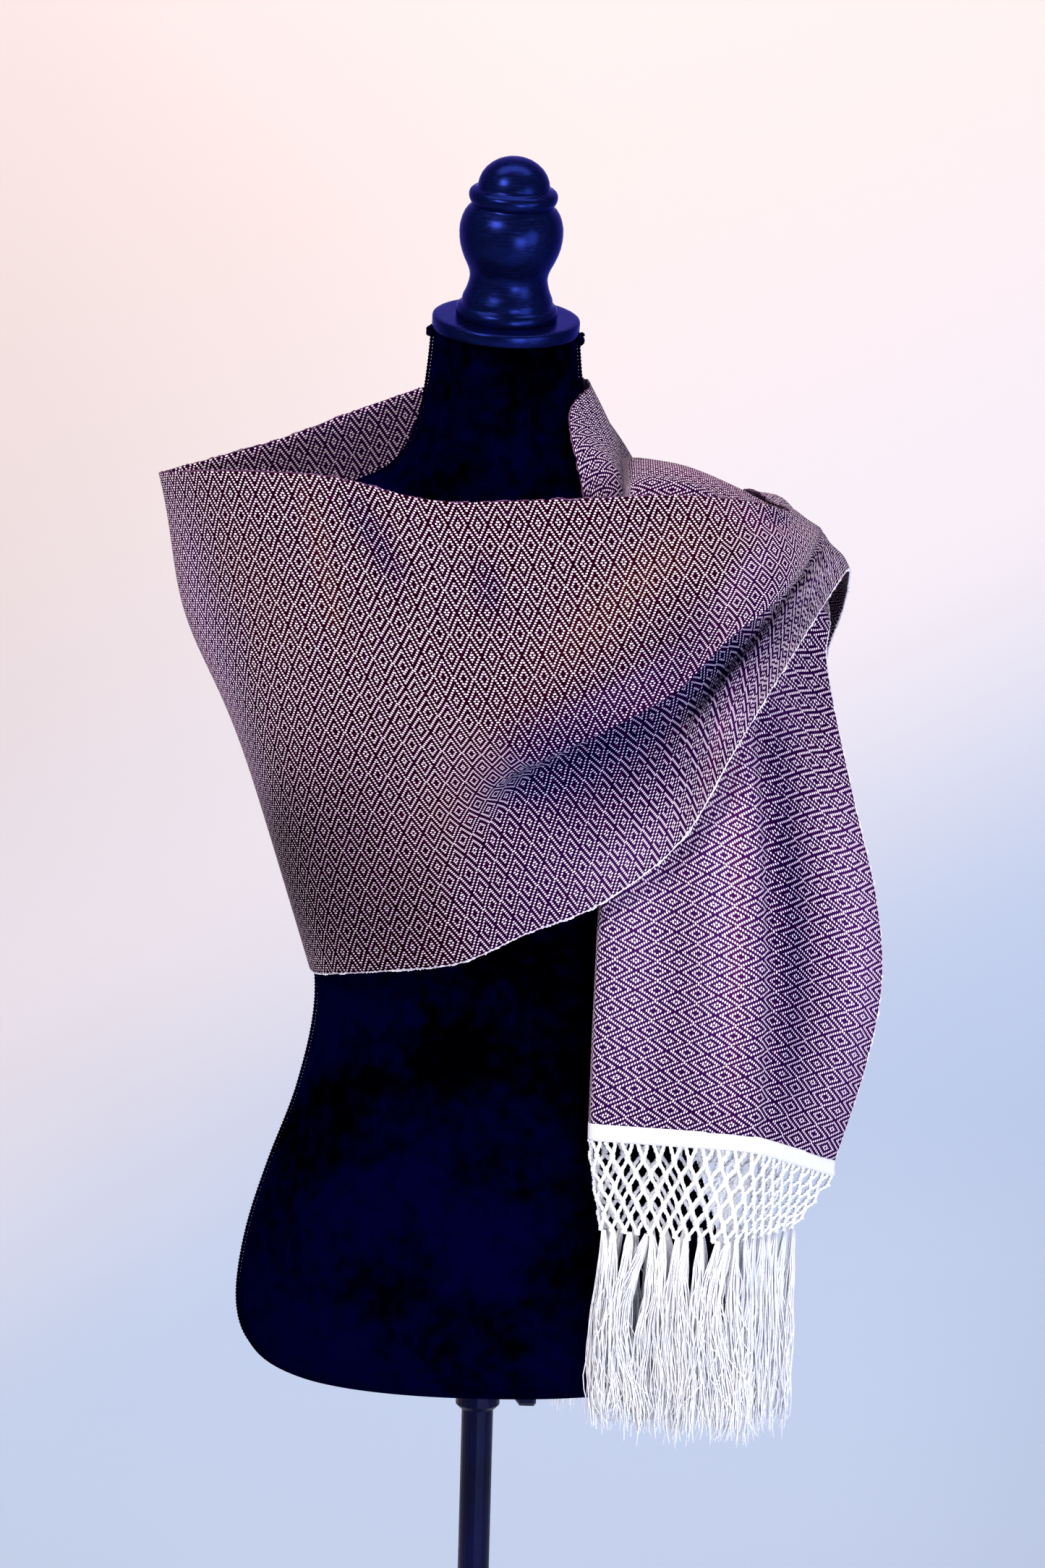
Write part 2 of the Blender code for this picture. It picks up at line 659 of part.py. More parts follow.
def turned(name, outline, finish_name, steps, bottom, angle=40.0):
    # A piece turned about the Z axis from rows of height and radius, bottom first
    bm = bmesh.new()
    loops = []
    for height, radius in outline:
        loop = []
        for i in range(steps):
            turn = 2.0 * math.pi * i / steps
            spot = (radius * math.cos(turn), radius * math.sin(turn), bottom + height)
            loop.append(bm.verts.new(spot))
        loops.append(loop)
    for lower, upper in zip(loops, loops[1:]):
        for i in range(steps):
            after = (i + 1) % steps
            bm.faces.new((lower[i], lower[after], upper[after], upper[i]))
    bm.faces.new(loops[0][::-1])
    bm.faces.new(loops[-1])
    return add_object(name, bm, finish_name, angle)


def tube_wall(name, outline, bore, finish_name, steps, bottom):
    # A turned collar with a straight bore right through it
    bm = bmesh.new()
    profile = list(outline) + [(outline[-1][0], bore), (outline[0][0], bore)]
    loops = []
    for height, radius in profile:
        loop = []
        for i in range(steps):
            turn = 2.0 * math.pi * i / steps
            spot = (radius * math.cos(turn), radius * math.sin(turn), bottom + height)
            loop.append(bm.verts.new(spot))
        loops.append(loop)
    loops.append(loops[0])
    for lower, upper in zip(loops, loops[1:]):
        for i in range(steps):
            after = (i + 1) % steps
            bm.faces.new((lower[i], lower[after], upper[after], upper[i]))
    return add_object(name, bm, finish_name)


def lying_turned(name, outline, finish_name, steps, height):
    # The same, turned about a level axis along +X at the given height
    obj = turned(name, outline, finish_name, steps, 0.0)
    mesh = obj.data
    for vert in mesh.vertices:
        along = vert.co.z
        vert.co = (along, vert.co.y, height - vert.co.x)
    return obj


def lean_on_neck(obj):
    # Tilts a piece with the neck's top plane, about that plane's middle
    pivot = Vector((0.0, 0.0, NECK_TOP))
    turn = Matrix.Rotation(LEAN_RIGHT, 3, "Y") @ Matrix.Rotation(LEAN_FRONT, 3, "X")
    for vert in obj.data.vertices:
        vert.co = pivot + turn @ (vert.co - pivot)


def inset_outline(table, tall, radius):
    return [(tall * share, radius - inset) for share, inset in table]


def make_form():
    make_torso()
    disc = inset_outline(CAP_OUTLINE, CAP_THICK, CAP_RADIUS)
    lean_on_neck(turned("neck_cap", disc, "navy_lacquer", 40, NECK_TOP + FIT))
    finial_low = NECK_TOP + CAP_THICK + 2.0 * FIT
    lean_on_neck(turned("finial", FINIAL_OUTLINE, "navy_lacquer", 24, finial_low))


def make_stand():
    collar_tall = TORSO_RINGS[0][0] - FIT - COLLAR_LOW
    collar = (
        (0.0, COLLAR_RADIUS - COLLAR_EASE),
        (COLLAR_EASE, COLLAR_RADIUS),
        (collar_tall, COLLAR_RADIUS),
    )
    collar_bore = POLE_RADIUS + SLIDE_FIT
    tube_wall("clamp_collar", collar, collar_bore, "navy_metal", 24, COLLAR_LOW)
    boss = (
        (COLLAR_RADIUS + FIT, BOSS_RADIUS),
        (BOSS_REACH - BOSS_EASE, BOSS_RADIUS),
        (BOSS_REACH, BOSS_RADIUS - BOSS_EASE),
    )
    lying_turned("clamp_boss", boss, "navy_metal", 16, KNOB_HEIGHT)
    knob = [(BOSS_REACH + FIT, SCREW_RADIUS), (KNOB_NEAR, SCREW_RADIUS)]
    for share, size in KNOB_OUTLINE:
        knob.append((KNOB_NEAR + (KNOB_FAR - KNOB_NEAR) * share, KNOB_RADIUS * size))
    lying_turned("clamp_knob", knob, "navy_metal", 20, KNOB_HEIGHT)
    pole_low = BASE_THICK + FIT
    pole = ((0.0, POLE_RADIUS), (POLE_TOP - pole_low, POLE_RADIUS))
    turned("pole", pole, "navy_metal", 24, pole_low)
    socket = [(SOCKET_TALL * tall, SOCKET_RADIUS * size) for tall, size in SOCKET_OUTLINE]
    tube_wall("base_socket", socket, POLE_RADIUS + FIT, "navy_metal", 24, BASE_THICK + FIT)
    turned("base_plate", inset_outline(BASE_OUTLINE, BASE_THICK, BASE_RADIUS), "navy_metal", 48, 0.0)


def main():
    clear_scene()
    make_cloth()
    make_end("front", front_net_point, 1.0, FRONT_KNOTS)
    make_end("back", back_net_point, -1.0, BACK_KNOTS)
    make_form()
    make_stand()


main()
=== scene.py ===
import math

import bpy
import numpy as np
from mathutils import Matrix, Vector


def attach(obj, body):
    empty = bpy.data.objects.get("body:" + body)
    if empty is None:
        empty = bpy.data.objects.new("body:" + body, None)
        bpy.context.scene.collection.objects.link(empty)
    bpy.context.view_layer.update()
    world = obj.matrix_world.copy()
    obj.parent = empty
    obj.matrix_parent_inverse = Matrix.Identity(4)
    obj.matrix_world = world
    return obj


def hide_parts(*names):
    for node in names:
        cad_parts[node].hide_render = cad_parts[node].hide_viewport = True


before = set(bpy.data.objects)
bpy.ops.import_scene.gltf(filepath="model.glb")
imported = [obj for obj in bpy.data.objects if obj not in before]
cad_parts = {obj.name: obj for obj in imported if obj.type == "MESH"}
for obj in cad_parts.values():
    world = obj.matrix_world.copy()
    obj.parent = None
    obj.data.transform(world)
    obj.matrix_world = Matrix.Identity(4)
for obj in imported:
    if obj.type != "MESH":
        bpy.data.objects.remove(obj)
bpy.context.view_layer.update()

rng = np.random.default_rng(7)
bpy.context.scene.view_settings.view_transform = "Standard"


# Camera: the photo's distance, pitch and roll
view = {
    "target": (0.0215, 0.0, 1.2525),
    "distance": 3.2,
    "pitch": math.radians(8.0),
    "roll": math.radians(1.55),
    "lens": 98.3,
    "sensor": 36.0,
}


def makeCamera():
    pitch, roll = view["pitch"], view["roll"]
    forward = Vector((0.0, math.cos(pitch), -math.sin(pitch)))
    side = Vector((1.0, 0.0, 0.0))
    up = side.cross(forward)
    right = math.cos(roll) * side + math.sin(roll) * up
    top = -math.sin(roll) * side + math.cos(roll) * up
    place = Vector(view["target"]) - view["distance"] * forward
    data = bpy.data.cameras.new("camera")
    data.lens, data.sensor_width = view["lens"], view["sensor"]
    data.clip_end = 60.0
    camera = bpy.data.objects.new("camera", data)
    turn = Matrix((right, top, -forward)).transposed()
    camera.matrix_world = Matrix.Translation(place) @ turn.to_4x4()
    bpy.context.scene.collection.objects.link(camera)
    bpy.context.scene.camera = camera


makeCamera()


# Shared mesh helpers
upward = np.array([0.0, 0.0, 1.0])


def unit(vectors):
    return vectors / (np.linalg.norm(vectors, axis=-1, keepdims=True) + 1e-12)


def addMesh(name, points, faces, material, uvs=None, smooth=True):
    mesh = bpy.data.meshes.new(name)
    mesh.from_pydata([tuple(p) for p in np.asarray(points)], [], faces)
    mesh.materials.append(material)
    if smooth:
        mesh.shade_smooth()
    if uvs is not None:
        layer = mesh.uv_layers.new(name="cut")
        loopVerts = np.empty(len(mesh.loops), dtype=np.int64)
        mesh.loops.foreach_get("vertex_index", loopVerts)
        layer.data.foreach_set("uv", np.asarray(uvs)[loopVerts].ravel())
    obj = bpy.data.objects.new(name, mesh)
    bpy.context.scene.collection.objects.link(obj)
    return obj


def gridFaces(rows, columns, flip=False, closeColumns=False):
    faces = []
    last = columns if closeColumns else columns - 1
    for i in range(rows - 1):
        for j in range(last):
            k = (j + 1) % columns
            face = (i * columns + j, i * columns + k, (i + 1) * columns + k, (i + 1) * columns + j)
            faces.append(face[::-1] if flip else face)
    return faces


def solidify(obj, thickness, offset=0.0):
    modifier = obj.modifiers.new("wall", "SOLIDIFY")
    modifier.thickness = thickness
    modifier.offset = offset
    modifier.use_even_offset = False


def settle(obj, slot, *cadNames):
    # All but the stand rides on the form
    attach(obj, "dressed_form")
    if cadNames:
        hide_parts(*cadNames)


def lengthsAlong(line):
    return np.concatenate(([0.0], np.cumsum(np.linalg.norm(np.diff(line, axis=0), axis=1))))


def atLengths(line, want):
    lengths = lengthsAlong(line)
    return np.stack([np.interp(want, lengths, line[:, k]) for k in range(3)], axis=1)


def closedRings(rings):
    # Rings in order, joined and closed with a flat face at both ends
    rings = np.array(rings)
    count = rings.shape[1]
    faces = gridFaces(len(rings), count, closeColumns=True)
    faces.append(tuple(range(count))[::-1])
    faces.append(tuple((len(rings) - 1) * count + k for k in range(count)))
    return rings.reshape(-1, 3), faces


def frameAlong(paths):
    # Two unit vectors across each point of each path, kept steady along it
    travel = unit(np.gradient(paths, axis=1))
    first = np.cross(travel, (0.0, 1.0, 0.0))
    short = np.linalg.norm(first, axis=2, keepdims=True) < 0.15
    first = unit(np.where(short, np.cross(travel, (1.0, 0.0, 0.0)), first))
    return first, np.cross(travel, first)


def tubes(paths, radii, sides, taper=None):
    # Points and faces of many tubes that share one count of steps
    count, steps, _ = paths.shape
    first, second = frameAlong(paths)
    radius = np.broadcast_to(np.asarray(radii, float).reshape(-1, 1), (count, steps)).copy()
    if taper is not None:
        radius *= taper
    angles = 2.0 * np.pi * np.arange(sides) / sides
    ring = (
        first[:, :, None, :] * np.cos(angles)[None, None, :, None]
        + second[:, :, None, :] * np.sin(angles)[None, None, :, None]
    )
    points = paths[:, :, None, :] + ring * radius[:, :, None, None]
    faces = []
    block = steps * sides
    for c in range(count):
        base = c * block
        for i in range(steps - 1):
            for k in range(sides):
                m = (k + 1) % sides
                a = base + i * sides
                faces.append((a + k, a + m, a + sides + m, a + sides + k))
        faces.append(tuple(base + k for k in range(sides))[::-1])
        faces.append(tuple(base + block - sides + k for k in range(sides)))
    return points.reshape(-1, 3), faces


def mergeParts(parts):
    points, faces = [], []
    start = 0
    for partPoints, partFaces in parts:
        points.append(partPoints)
        faces.extend(tuple(v + start for v in face) for face in partFaces)
        start += len(partPoints)
    return np.concatenate(points), faces


# One material in the making: its nodes by short names
class Finish:
    def __init__(self, name):
        self.material = bpy.data.materials.new(name)
        self.material.use_nodes = True
        self.tree = self.material.node_tree
        self.shader = self.tree.nodes["Principled BSDF"]
        self.coords = self.node("TexCoord", "Object")

    def plug(self, value, socket):
        if isinstance(value, bpy.types.NodeSocket):
            self.tree.links.new(value, socket)
        elif socket.type == "RGBA":
            socket.default_value = (*value, 1.0)
        elif value is not None:
            socket.default_value = value

    def node(self, kind, output, inputs=None, **settings):
        made = self.tree.nodes.new("ShaderNode" + kind)
        for key, value in settings.items():
            setattr(made, key, value)
        for key, value in (inputs or {}).items():
            self.plug(value, made.inputs[key])
        return made.outputs if output is None else made.outputs[output]

    def calc(self, operation, first, second=None, clamp=False):
        return self.node("Math", 0, {0: first, 1: second}, operation=operation, use_clamp=clamp)

    def mix(self, factor, first, second):
        return self.node("Mix", 2, {0: factor, 6: first, 7: second}, data_type="RGBA")

    def noise(self, scale, detail=3.0, rough=0.5, vector=None):
        inputs = {"Vector": vector or self.coords, "Scale": scale, "Detail": detail, "Roughness": rough}
        return self.node("TexNoise", "Fac", inputs)

    def ramp(self, value, low, high, outLow=0.0, outHigh=1.0):
        inputs = {"Value": value, "From Min": low, "From Max": high, "To Min": outLow, "To Max": outHigh}
        return self.node("MapRange", "Result", inputs, interpolation_type="SMOOTHSTEP")

    def cutCoords(self):
        # Lengths along and across the flat cut, in metres
        return self.node("SeparateXYZ", None, {0: self.node("UVMap", "UV", uv_map="cut")})[:2]

    def offMiddle(self, count):
        # Place between two threads, from the middle of one
        return self.calc("SUBTRACT", self.calc("FRACT", count), 0.5)

    def done(self, colour, sockets, height=None, strength=0.0, distance=0.0):
        self.plug(colour, self.shader.inputs["Base Color"])
        for name, value in sockets.items():
            self.plug(value, self.shader.inputs[name])
        if height is not None:
            inputs = {"Strength": strength, "Distance": distance, "Height": height}
            self.plug(self.node("Bump", "Normal", inputs), self.shader.inputs["Normal"])
        return self.material


# Painted light and shade on the cloth's ground, each an attribute painted along listed lines: painted light
# on the ridges, painted shadow under the fold, painted shade where the cloth turns away, a painted warm
# highlight and a painted magenta and violet sheen
tones = ("violetSheen", "lit", "magenta", "ember", "dim", "shade")


# Weave: a point twill of white warp floats on a purple weft, charted in ends and picks
weave = {
    "width": 0.38,
    "endPitch": 0.00175,
    "pickPitch": 0.00096,
    "endRepeat": 18,
    "pickRepeat": 15,
    "floatCycle": 4,
    "floatMiddle": 3.0,
    "floatHalfWidth": 0.315,
    "floatLength": 0.84,
    "selvage": 0.0009,
    "finerShade": 1.0,
    "finerDim": 0.45,
    "fullerLit": 0.42,
    "waver": 0.0022,
    "waverScale": 34.0,
    "patchScale": 11.0,
    "patchShare": 0.9,
    "fleckScale": 420.0,
    "fleckShare": 0.35,
    "grooveShare": 0.45,
    "threadShare": 0.8,
    "white": (0.88, 0.71, 0.84),
    # The thread colours that follow are for painted warm highlight, painted shade and painted shadow
    "whitePeach": (0.92, 0.66, 0.58),
    "whiteDim": (0.42, 0.34, 0.39),
    "whiteShade": (0.46, 0.42, 0.76),
    # Ground colours: maroon is the base; violet is a painted sheen; lit is painted light, shade a painted
    # shadow, dim painted shade, groove painted shade between picks, magenta a painted sheen and also the
    # colour of random flecks, ember a painted warm highlight
    "maroon": (0.0105, 0.0002, 0.0028),
    "violet": (0.013, 0.0006, 0.033),
    "lit": (0.052, 0.008, 0.1),
    "shade": (0.001, 0.0003, 0.015),
    "groove": (0.003, 0.0005, 0.004),
    "dim": (0.004, 0.0001, 0.0016),
    "magenta": (0.075, 0.004, 0.06),
    "ember": (0.042, 0.005, 0.006),
}


def clothMaterial():
    f, w = Finish("rebozo_weave"), weave
    along, across = f.cutCoords()
    # A little waver keeps the threads from lying dead straight
    waver = f.calc("MULTIPLY", f.calc("SUBTRACT", f.noise(w["waverScale"]), 0.5), w["waver"])
    ends = f.calc("DIVIDE", f.calc("ADD", across, waver), w["endPitch"])
    picks = f.calc("DIVIDE", f.calc("ADD", along, waver), w["pickPitch"])

    def point(count, repeat):
        # Threading order: up to the middle of the repeat and back
        step = f.calc("FLOORED_MODULO", count, float(repeat))
        return f.calc("MINIMUM", step, f.calc("SUBTRACT", float(repeat), step))

    order = f.calc("ADD", point(f.calc("FLOOR", ends), w["endRepeat"]), point(picks, w["pickRepeat"]))
    phase = f.calc("FLOORED_MODULO", order, float(w["floatCycle"]))
    lengthOff = f.calc("ABSOLUTE", f.calc("SUBTRACT", phase, w["floatMiddle"]))
    lengthOff = f.calc("POWER", f.calc("DIVIDE", lengthOff, w["floatLength"]), 3.0)
    sideOff = f.calc("DIVIDE", f.calc("ABSOLUTE", f.offMiddle(ends)), w["floatHalfWidth"])
    reach = f.calc("ADD", lengthOff, f.calc("POWER", sideOff, 3.0))
    tone = {name: f.node("Attribute", "Fac", attribute_name=name) for name in tones}
    # Floats are finer in the shade and fuller in the light
    finer = f.calc("MULTIPLY", tone["shade"], w["finerShade"])
    finer = f.calc("ADD", finer, f.calc("MULTIPLY", tone["dim"], w["finerDim"]))
    finer = f.calc("SUBTRACT", finer, f.calc("MULTIPLY", tone["lit"], w["fullerLit"]))
    reach = f.calc("MULTIPLY", reach, f.calc("ADD", 1.0, finer))
    edge = f.ramp(across, w["width"] - w["selvage"], w["width"] - w["selvage"] * 0.6)
    white = f.calc("MAXIMUM", f.ramp(reach, 0.75, 1.25, 1.0, 0.0), edge)
    # Ground: maroon turning violet, a painted sheen of the shot weft laid by place on the cloth and broken
    # by random patches
    patch = f.calc("SUBTRACT", f.noise(w["patchScale"]), 0.5)
    violetSheen = f.calc("ADD", tone["violetSheen"], f.calc("MULTIPLY", patch, w["patchShare"]), clamp=True)
    ground = f.mix(violetSheen, w["maroon"], w["violet"])
    # Painted light, painted sheen, painted warm highlight, painted shade and painted shadow, each laid
    # along its lines
    for name in ("lit", "magenta", "ember", "dim", "shade"):
        ground = f.mix(tone[name], ground, w[name])
    fleck = f.ramp(f.noise(w["fleckScale"], 2.0), 0.5, 0.75, 0.0, w["fleckShare"])
    ground = f.mix(fleck, ground, w["magenta"])
    # Painted shade in the grooves between picks
    groove = f.calc("ABSOLUTE", f.offMiddle(picks))
    ground = f.mix(f.ramp(groove, 0.28, 0.5, 0.0, w["grooveShare"]), ground, w["groove"])
    # Threads: a painted warm highlight on the lit ridges, then painted shade and painted shadow
    thread = f.mix(tone["ember"], w["white"], w["whitePeach"])
    thread = f.mix(f.calc("MULTIPLY", tone["dim"], w["threadShare"]), thread, w["whiteDim"])
    thread = f.mix(f.calc("MULTIPLY", tone["shade"], w["threadShare"]), thread, w["whiteShade"])
    height = f.calc("SUBTRACT", white, f.calc("MULTIPLY", groove, 0.5))
    sockets = {"Roughness": 0.8, "Specular IOR Level": 0.0}
    return f.done(f.mix(white, ground, thread), sockets, height, 0.55, 0.0004)


def yarnMaterial():
    f = Finish("white_yarn_spun")
    fibre = f.noise(900.0, 2.0)
    colour = f.mix(f.ramp(f.noise(40.0, 2.0), 0.3, 0.7), (0.93, 0.94, 0.98), (0.99, 0.98, 0.98))
    # Painted shade: the hollows between fibres are darker and bluer
    colour = f.mix(f.ramp(fibre, 0.35, 0.6, 0.35, 0.0), colour, (0.6, 0.6, 0.72))
    return f.done(colour, {"Roughness": 0.8, "Sheen Weight": 0.25}, fibre, 0.5, 0.0002)


def headingMaterial():
    # Close plain weave in white: two counts of round threads crossing
    f = Finish("white_heading_weave")
    along, across = f.cutCoords()
    ends, picks = f.calc("DIVIDE", across, 0.0011), f.calc("DIVIDE", along, 0.0008)

    def bulge(count):
        return f.calc("ABSOLUTE", f.calc("SINE", f.calc("MULTIPLY", count, math.pi)))

    parity = f.calc("FLOORED_MODULO", f.calc("ADD", f.calc("FLOOR", ends), f.calc("FLOOR", picks)), 2.0)
    over = f.calc("MULTIPLY", bulge(ends), f.calc("ADD", 0.6, f.calc("MULTIPLY", parity, 0.4)))
    height = f.calc("MULTIPLY", over, f.calc("ADD", 0.5, f.calc("MULTIPLY", bulge(picks), 0.5)))
    # Painted shade: the low parts of the weave are darker and bluer
    colour = f.mix(f.ramp(height, 0.1, 0.6), (0.66, 0.66, 0.78), (0.96, 0.94, 0.96))
    return f.done(colour, {"Roughness": 0.8, "Sheen Weight": 0.2}, height, 0.8, 0.0004)


def selvageMaterial():
    f = Finish("weft_loops")
    colour = f.mix(f.noise(300.0), (0.05, 0.006, 0.06), (0.2, 0.03, 0.18))
    return f.done(colour, {"Roughness": 0.75, "Sheen Weight": 0.3}, f.noise(1200.0), 0.4, 0.0002)


def velvetMaterial():
    f = Finish("navy_velvet_pile")
    stroke = f.calc("MULTIPLY", f.noise(7.0, 4.0, 0.6), 0.75)
    pile = f.calc("ADD", stroke, f.calc("MULTIPLY", f.noise(90.0), 0.25))
    colour = f.mix(f.ramp(pile, 0.42, 0.62), (0.00005, 0.00005, 0.0006), (0.0002, 0.0002, 0.015))
    sockets = {
        "Roughness": 0.95, "Specular IOR Level": 0.0,
        "Sheen Weight": 0.001, "Sheen Roughness": 0.35, "Sheen Tint": (0.15, 0.12, 0.9),
    }
    return f.done(colour, sockets, f.noise(700.0, 2.0), 0.35, 0.0005)


def lacquerMaterial():
    # Near-black lacquer over turned wood: fine rings of grain show in the gloss
    f = Finish("lacquered_wood")
    stretched = f.node("Mapping", "Vector", {"Vector": f.coords, "Scale": (14.0, 60.0, 160.0)})
    grain = f.noise(6.0, 5.0, 0.65, stretched)
    colour = f.mix(f.ramp(grain, 0.45, 0.7), (0.0036, 0.0068, 0.054), (0.006, 0.011, 0.09))
    colour = f.mix(f.ramp(f.noise(55.0, 4.0, 0.7), 0.7, 0.78), colour, (0.014, 0.02, 0.11))
    sockets = {
        "Roughness": f.ramp(grain, 0.3, 0.7, 0.2, 0.36), "Metallic": 0.8,
        "Specular IOR Level": 0.1, "Specular Tint": (0.14, 0.24, 1.0),
    }
    return f.done(colour, sockets, grain, 0.05, 0.0004)


def metalMaterial():
    f = Finish("painted_steel")
    peel = f.noise(260.0)
    colour = f.mix(f.ramp(f.noise(24.0), 0.3, 0.7), (0.0006, 0.0006, 0.008), (0.0015, 0.0015, 0.022))
    sockets = {
        "Roughness": f.ramp(peel, 0.3, 0.7, 0.28, 0.42),
        "Specular IOR Level": 0.2, "Specular Tint": (0.4, 0.45, 1.0),
    }
    return f.done(colour, sockets, peel, 0.08, 0.0003)


materials = {
    "cloth": clothMaterial(),
    "yarn": yarnMaterial(),
    "heading": headingMaterial(),
    "loops": selvageMaterial(),
    "velvet": velvetMaterial(),
    "lacquer": lacquerMaterial(),
    "metal": metalMaterial(),
}
print("materials made")


# Cloth: the strip's sections in order of travel, the same sizes as its solids
cloth = {
    "samples": 100,
    "thickness": 0.0012,
    "alongCell": 0.005,
    "acrossCells": 96,
    "denser": 1.8,
    "turnStart": 0.31,
    "turnEnd": 0.345,
    "ridgeAt": 0.7,
    "turnY": -0.1175,
    "turnDepth": 0.012,
    "turnRadius": 0.0055,
    "ridgeRadius": 0.014,
    "ridgeLift": 0.003,
    "foldAbove": (0.16, 0.14),
    "foldBelow": (0.2, 0.034),
    "sharpFrom": 20.6,
    "sharpBy": 21.9,
    "valleyShare": (0.0, 0.35),
    "valleyOff": 0.17,
    "valleyWide": 0.08,
    "foldSag": (0.5, 1.05),
    "sagAbove": (0.13, 0.1),
    "sagBelow": (0.13, 0.026),
    "hangingFolds": 3,
}
# Height, x of the turned edge, top selvage x y, ridge x y, outer selvage x y, its drop
fallRows = (
    (1.023, 0.0765, 0.2, -0.117, 0.193, -0.166, 0.2575, -0.102, 0.028),
    (1.08, 0.077, 0.198, -0.117, 0.1925, -0.166, 0.2775, -0.101, 0.014),
    (1.135, 0.078, 0.194, -0.117, 0.1915, -0.164, 0.287, -0.1, 0.006),
    (1.19, 0.079, 0.186, -0.117, 0.1895, -0.16, 0.281, -0.098, 0.002),
    (1.25, 0.08, 0.17, -0.1165, 0.187, -0.151, 0.265, -0.092, 0.0),
    (1.31, 0.0815, 0.13, -0.1155, 0.182, -0.138, 0.25, -0.083, 0.0),
    (1.36, 0.083, 0.09, -0.1005, 0.176, -0.124, 0.24, -0.072, 0.0),
)
# Neck selvage outwards: x, y, z, share of the climb, share of the hollow
shoulderFolds = (
    (0.0625, 0.002, 1.549, 1.0, 0.0),
    (0.074, 0.002, 1.53, 0.6, 0.0),
    (0.0845, 0.002, 1.508, 0.2, 0.6),
    (0.089, 0.0, 1.4875, 0.0, 1.0),
    (0.095, -0.003, 1.4905, 0.0, 0.8),
    (0.107, -0.004, 1.494, 0.0, 0.4),
    (0.135, -0.004, 1.4915, 0.0, 0.0),
    (0.165, -0.002, 1.479, 0.0, 0.0),
    (0.195, 0.0, 1.463, 0.0, 0.0),
    (0.222, 0.0, 1.443, 0.0, 0.0),
    (0.242, 0.0, 1.404, 0.0, 0.0),
)
valleyRow = 3
shoulderMoves = (
    (-0.062, -0.021, -0.004, -0.02, -0.046, 0.0),
    (-0.032, -0.006, -0.014, -0.01, -0.012, 0.0),
    (0.0, 0.0, 0.0, 0.0, 0.0, 0.0),
    (0.044, -0.006, -0.003, 0.002, 0.01, 0.013),
)
# Top selvage x y z, lower selvage x y z, bow, place and reach of the fold, hanging folds
openRows = (
    (0.048, 0.062, 1.553, 0.205, 0.092, 1.3, 0.01, 0.5, 0.0, 0.0),
    (0.01, 0.076, 1.557, 0.15, 0.108, 1.22, 0.012, 0.5, 0.0, 0.0),
    (-0.045, 0.08, 1.547, 0.06, 0.114, 1.165, 0.012, 0.5, 0.0, 0.002),
    (-0.105, 0.083, 1.526, -0.025, 0.112, 1.138, 0.01, 0.5, 0.0, 0.003),
    (-0.165, 0.074, 1.502, -0.09, 0.098, 1.122, 0.008, 0.3, 0.0, 0.002),
    (-0.215, 0.05, 1.487, -0.122, 0.068, 1.115, 0.002, 0.25, 0.006, 0.0),
    (-0.252, 0.008, 1.478, -0.134, 0.008, 1.112, 0.0, 0.25, 0.013, 0.0),
    (-0.233, -0.042, 1.482, -0.128, -0.048, 1.114, 0.002, 0.25, 0.006, 0.0),
    (-0.19, -0.08, 1.486, -0.106, -0.086, 1.121, 0.008, 0.3, 0.0, 0.0),
    (-0.12, -0.104, 1.485, -0.068, -0.106, 1.128, 0.014, 0.5, 0.0, 0.0),
    (-0.05, -0.11, 1.471, -0.02, -0.118, 1.137, 0.017, 0.62, 0.002, 0.0),
    (0.01, -0.111, 1.472, 0.028, -0.13, 1.162, 0.016, 0.58, 0.01, 0.0),
    (0.075, -0.107, 1.476, 0.08, -0.146, 1.188, 0.016, 0.52, 0.017, 0.0),
    (0.135, -0.097, 1.478, 0.135, -0.158, 1.236, 0.016, 0.47, 0.024, 0.0),
    (0.183, -0.074, 1.473, 0.172, -0.166, 1.305, 0.014, 0.42, 0.026, 0.0),
    (0.206, -0.05, 1.466, 0.211, -0.132, 1.368, 0.008, 0.38, 0.014, 0.0),
    (0.213, -0.022, 1.464, 0.252, -0.055, 1.421, 0.004, 0.36, 0.004, 0.0),
    (0.202, 0.016, 1.467, 0.26, 0.002, 1.41, 0.006, 0.5, 0.0, 0.002),
    (0.178, 0.064, 1.47, 0.26, 0.054, 1.384, 0.01, 0.5, 0.0, 0.005),
    (0.135, 0.114, 1.41, 0.25, 0.1, 1.332, 0.01, 0.5, 0.0, 0.011),
    (0.095, 0.129, 1.31, 0.246, 0.118, 1.255, 0.006, 0.5, 0.0, 0.015),
    (0.068, 0.131, 1.2, 0.248, 0.127, 1.16, 0.002, 0.5, 0.0, 0.017),
    (0.053, 0.133, 1.08, 0.245, 0.13, 1.055, 0.0, 0.5, 0.0, 0.018),
    (0.048, 0.134, 0.962, 0.24, 0.132, 0.956, 0.0, 0.5, 0.0, 0.018),
)
# Lines of painted light and shade: place and share at each end, reach in metres, strength. The first lines
# are a painted warm highlight along the lit ridges of the fold
emberLines = (
    (21.2, 0.67, 22.5, 0.42, 0.03, 0.34),
    (22.3, 0.43, 24.2, 0.06, 0.026, 0.48),
    (19.7, 0.0, 19.9, 0.34, 0.009, 0.5),
    (18.8, 0.1, 19.3, 0.4, 0.026, 0.25),
    (20.2, 0.72, 21.6, 0.6, 0.024, 0.14),
)
# Painted shadow under the overhanging fold and along shaded creases
shadeLines = (
    (0.2, 0.79, 5.6, 0.78, 0.016, 0.7),
    (21.7, 0.66, 22.6, 0.62, 0.016, 0.9),
    (21.9, 0.65, 23.9, 0.59, 0.042, 1.0),
    (23.6, 0.59, 25.3, 0.52, 0.034, 1.0),
    (20.2, 0.02, 20.6, 0.2, 0.012, 0.55),
    (21.6, 0.12, 21.7, 0.26, 0.01, 0.45),
    (25.2, 0.02, 26.0, 0.1, 0.01, 0.4),
)
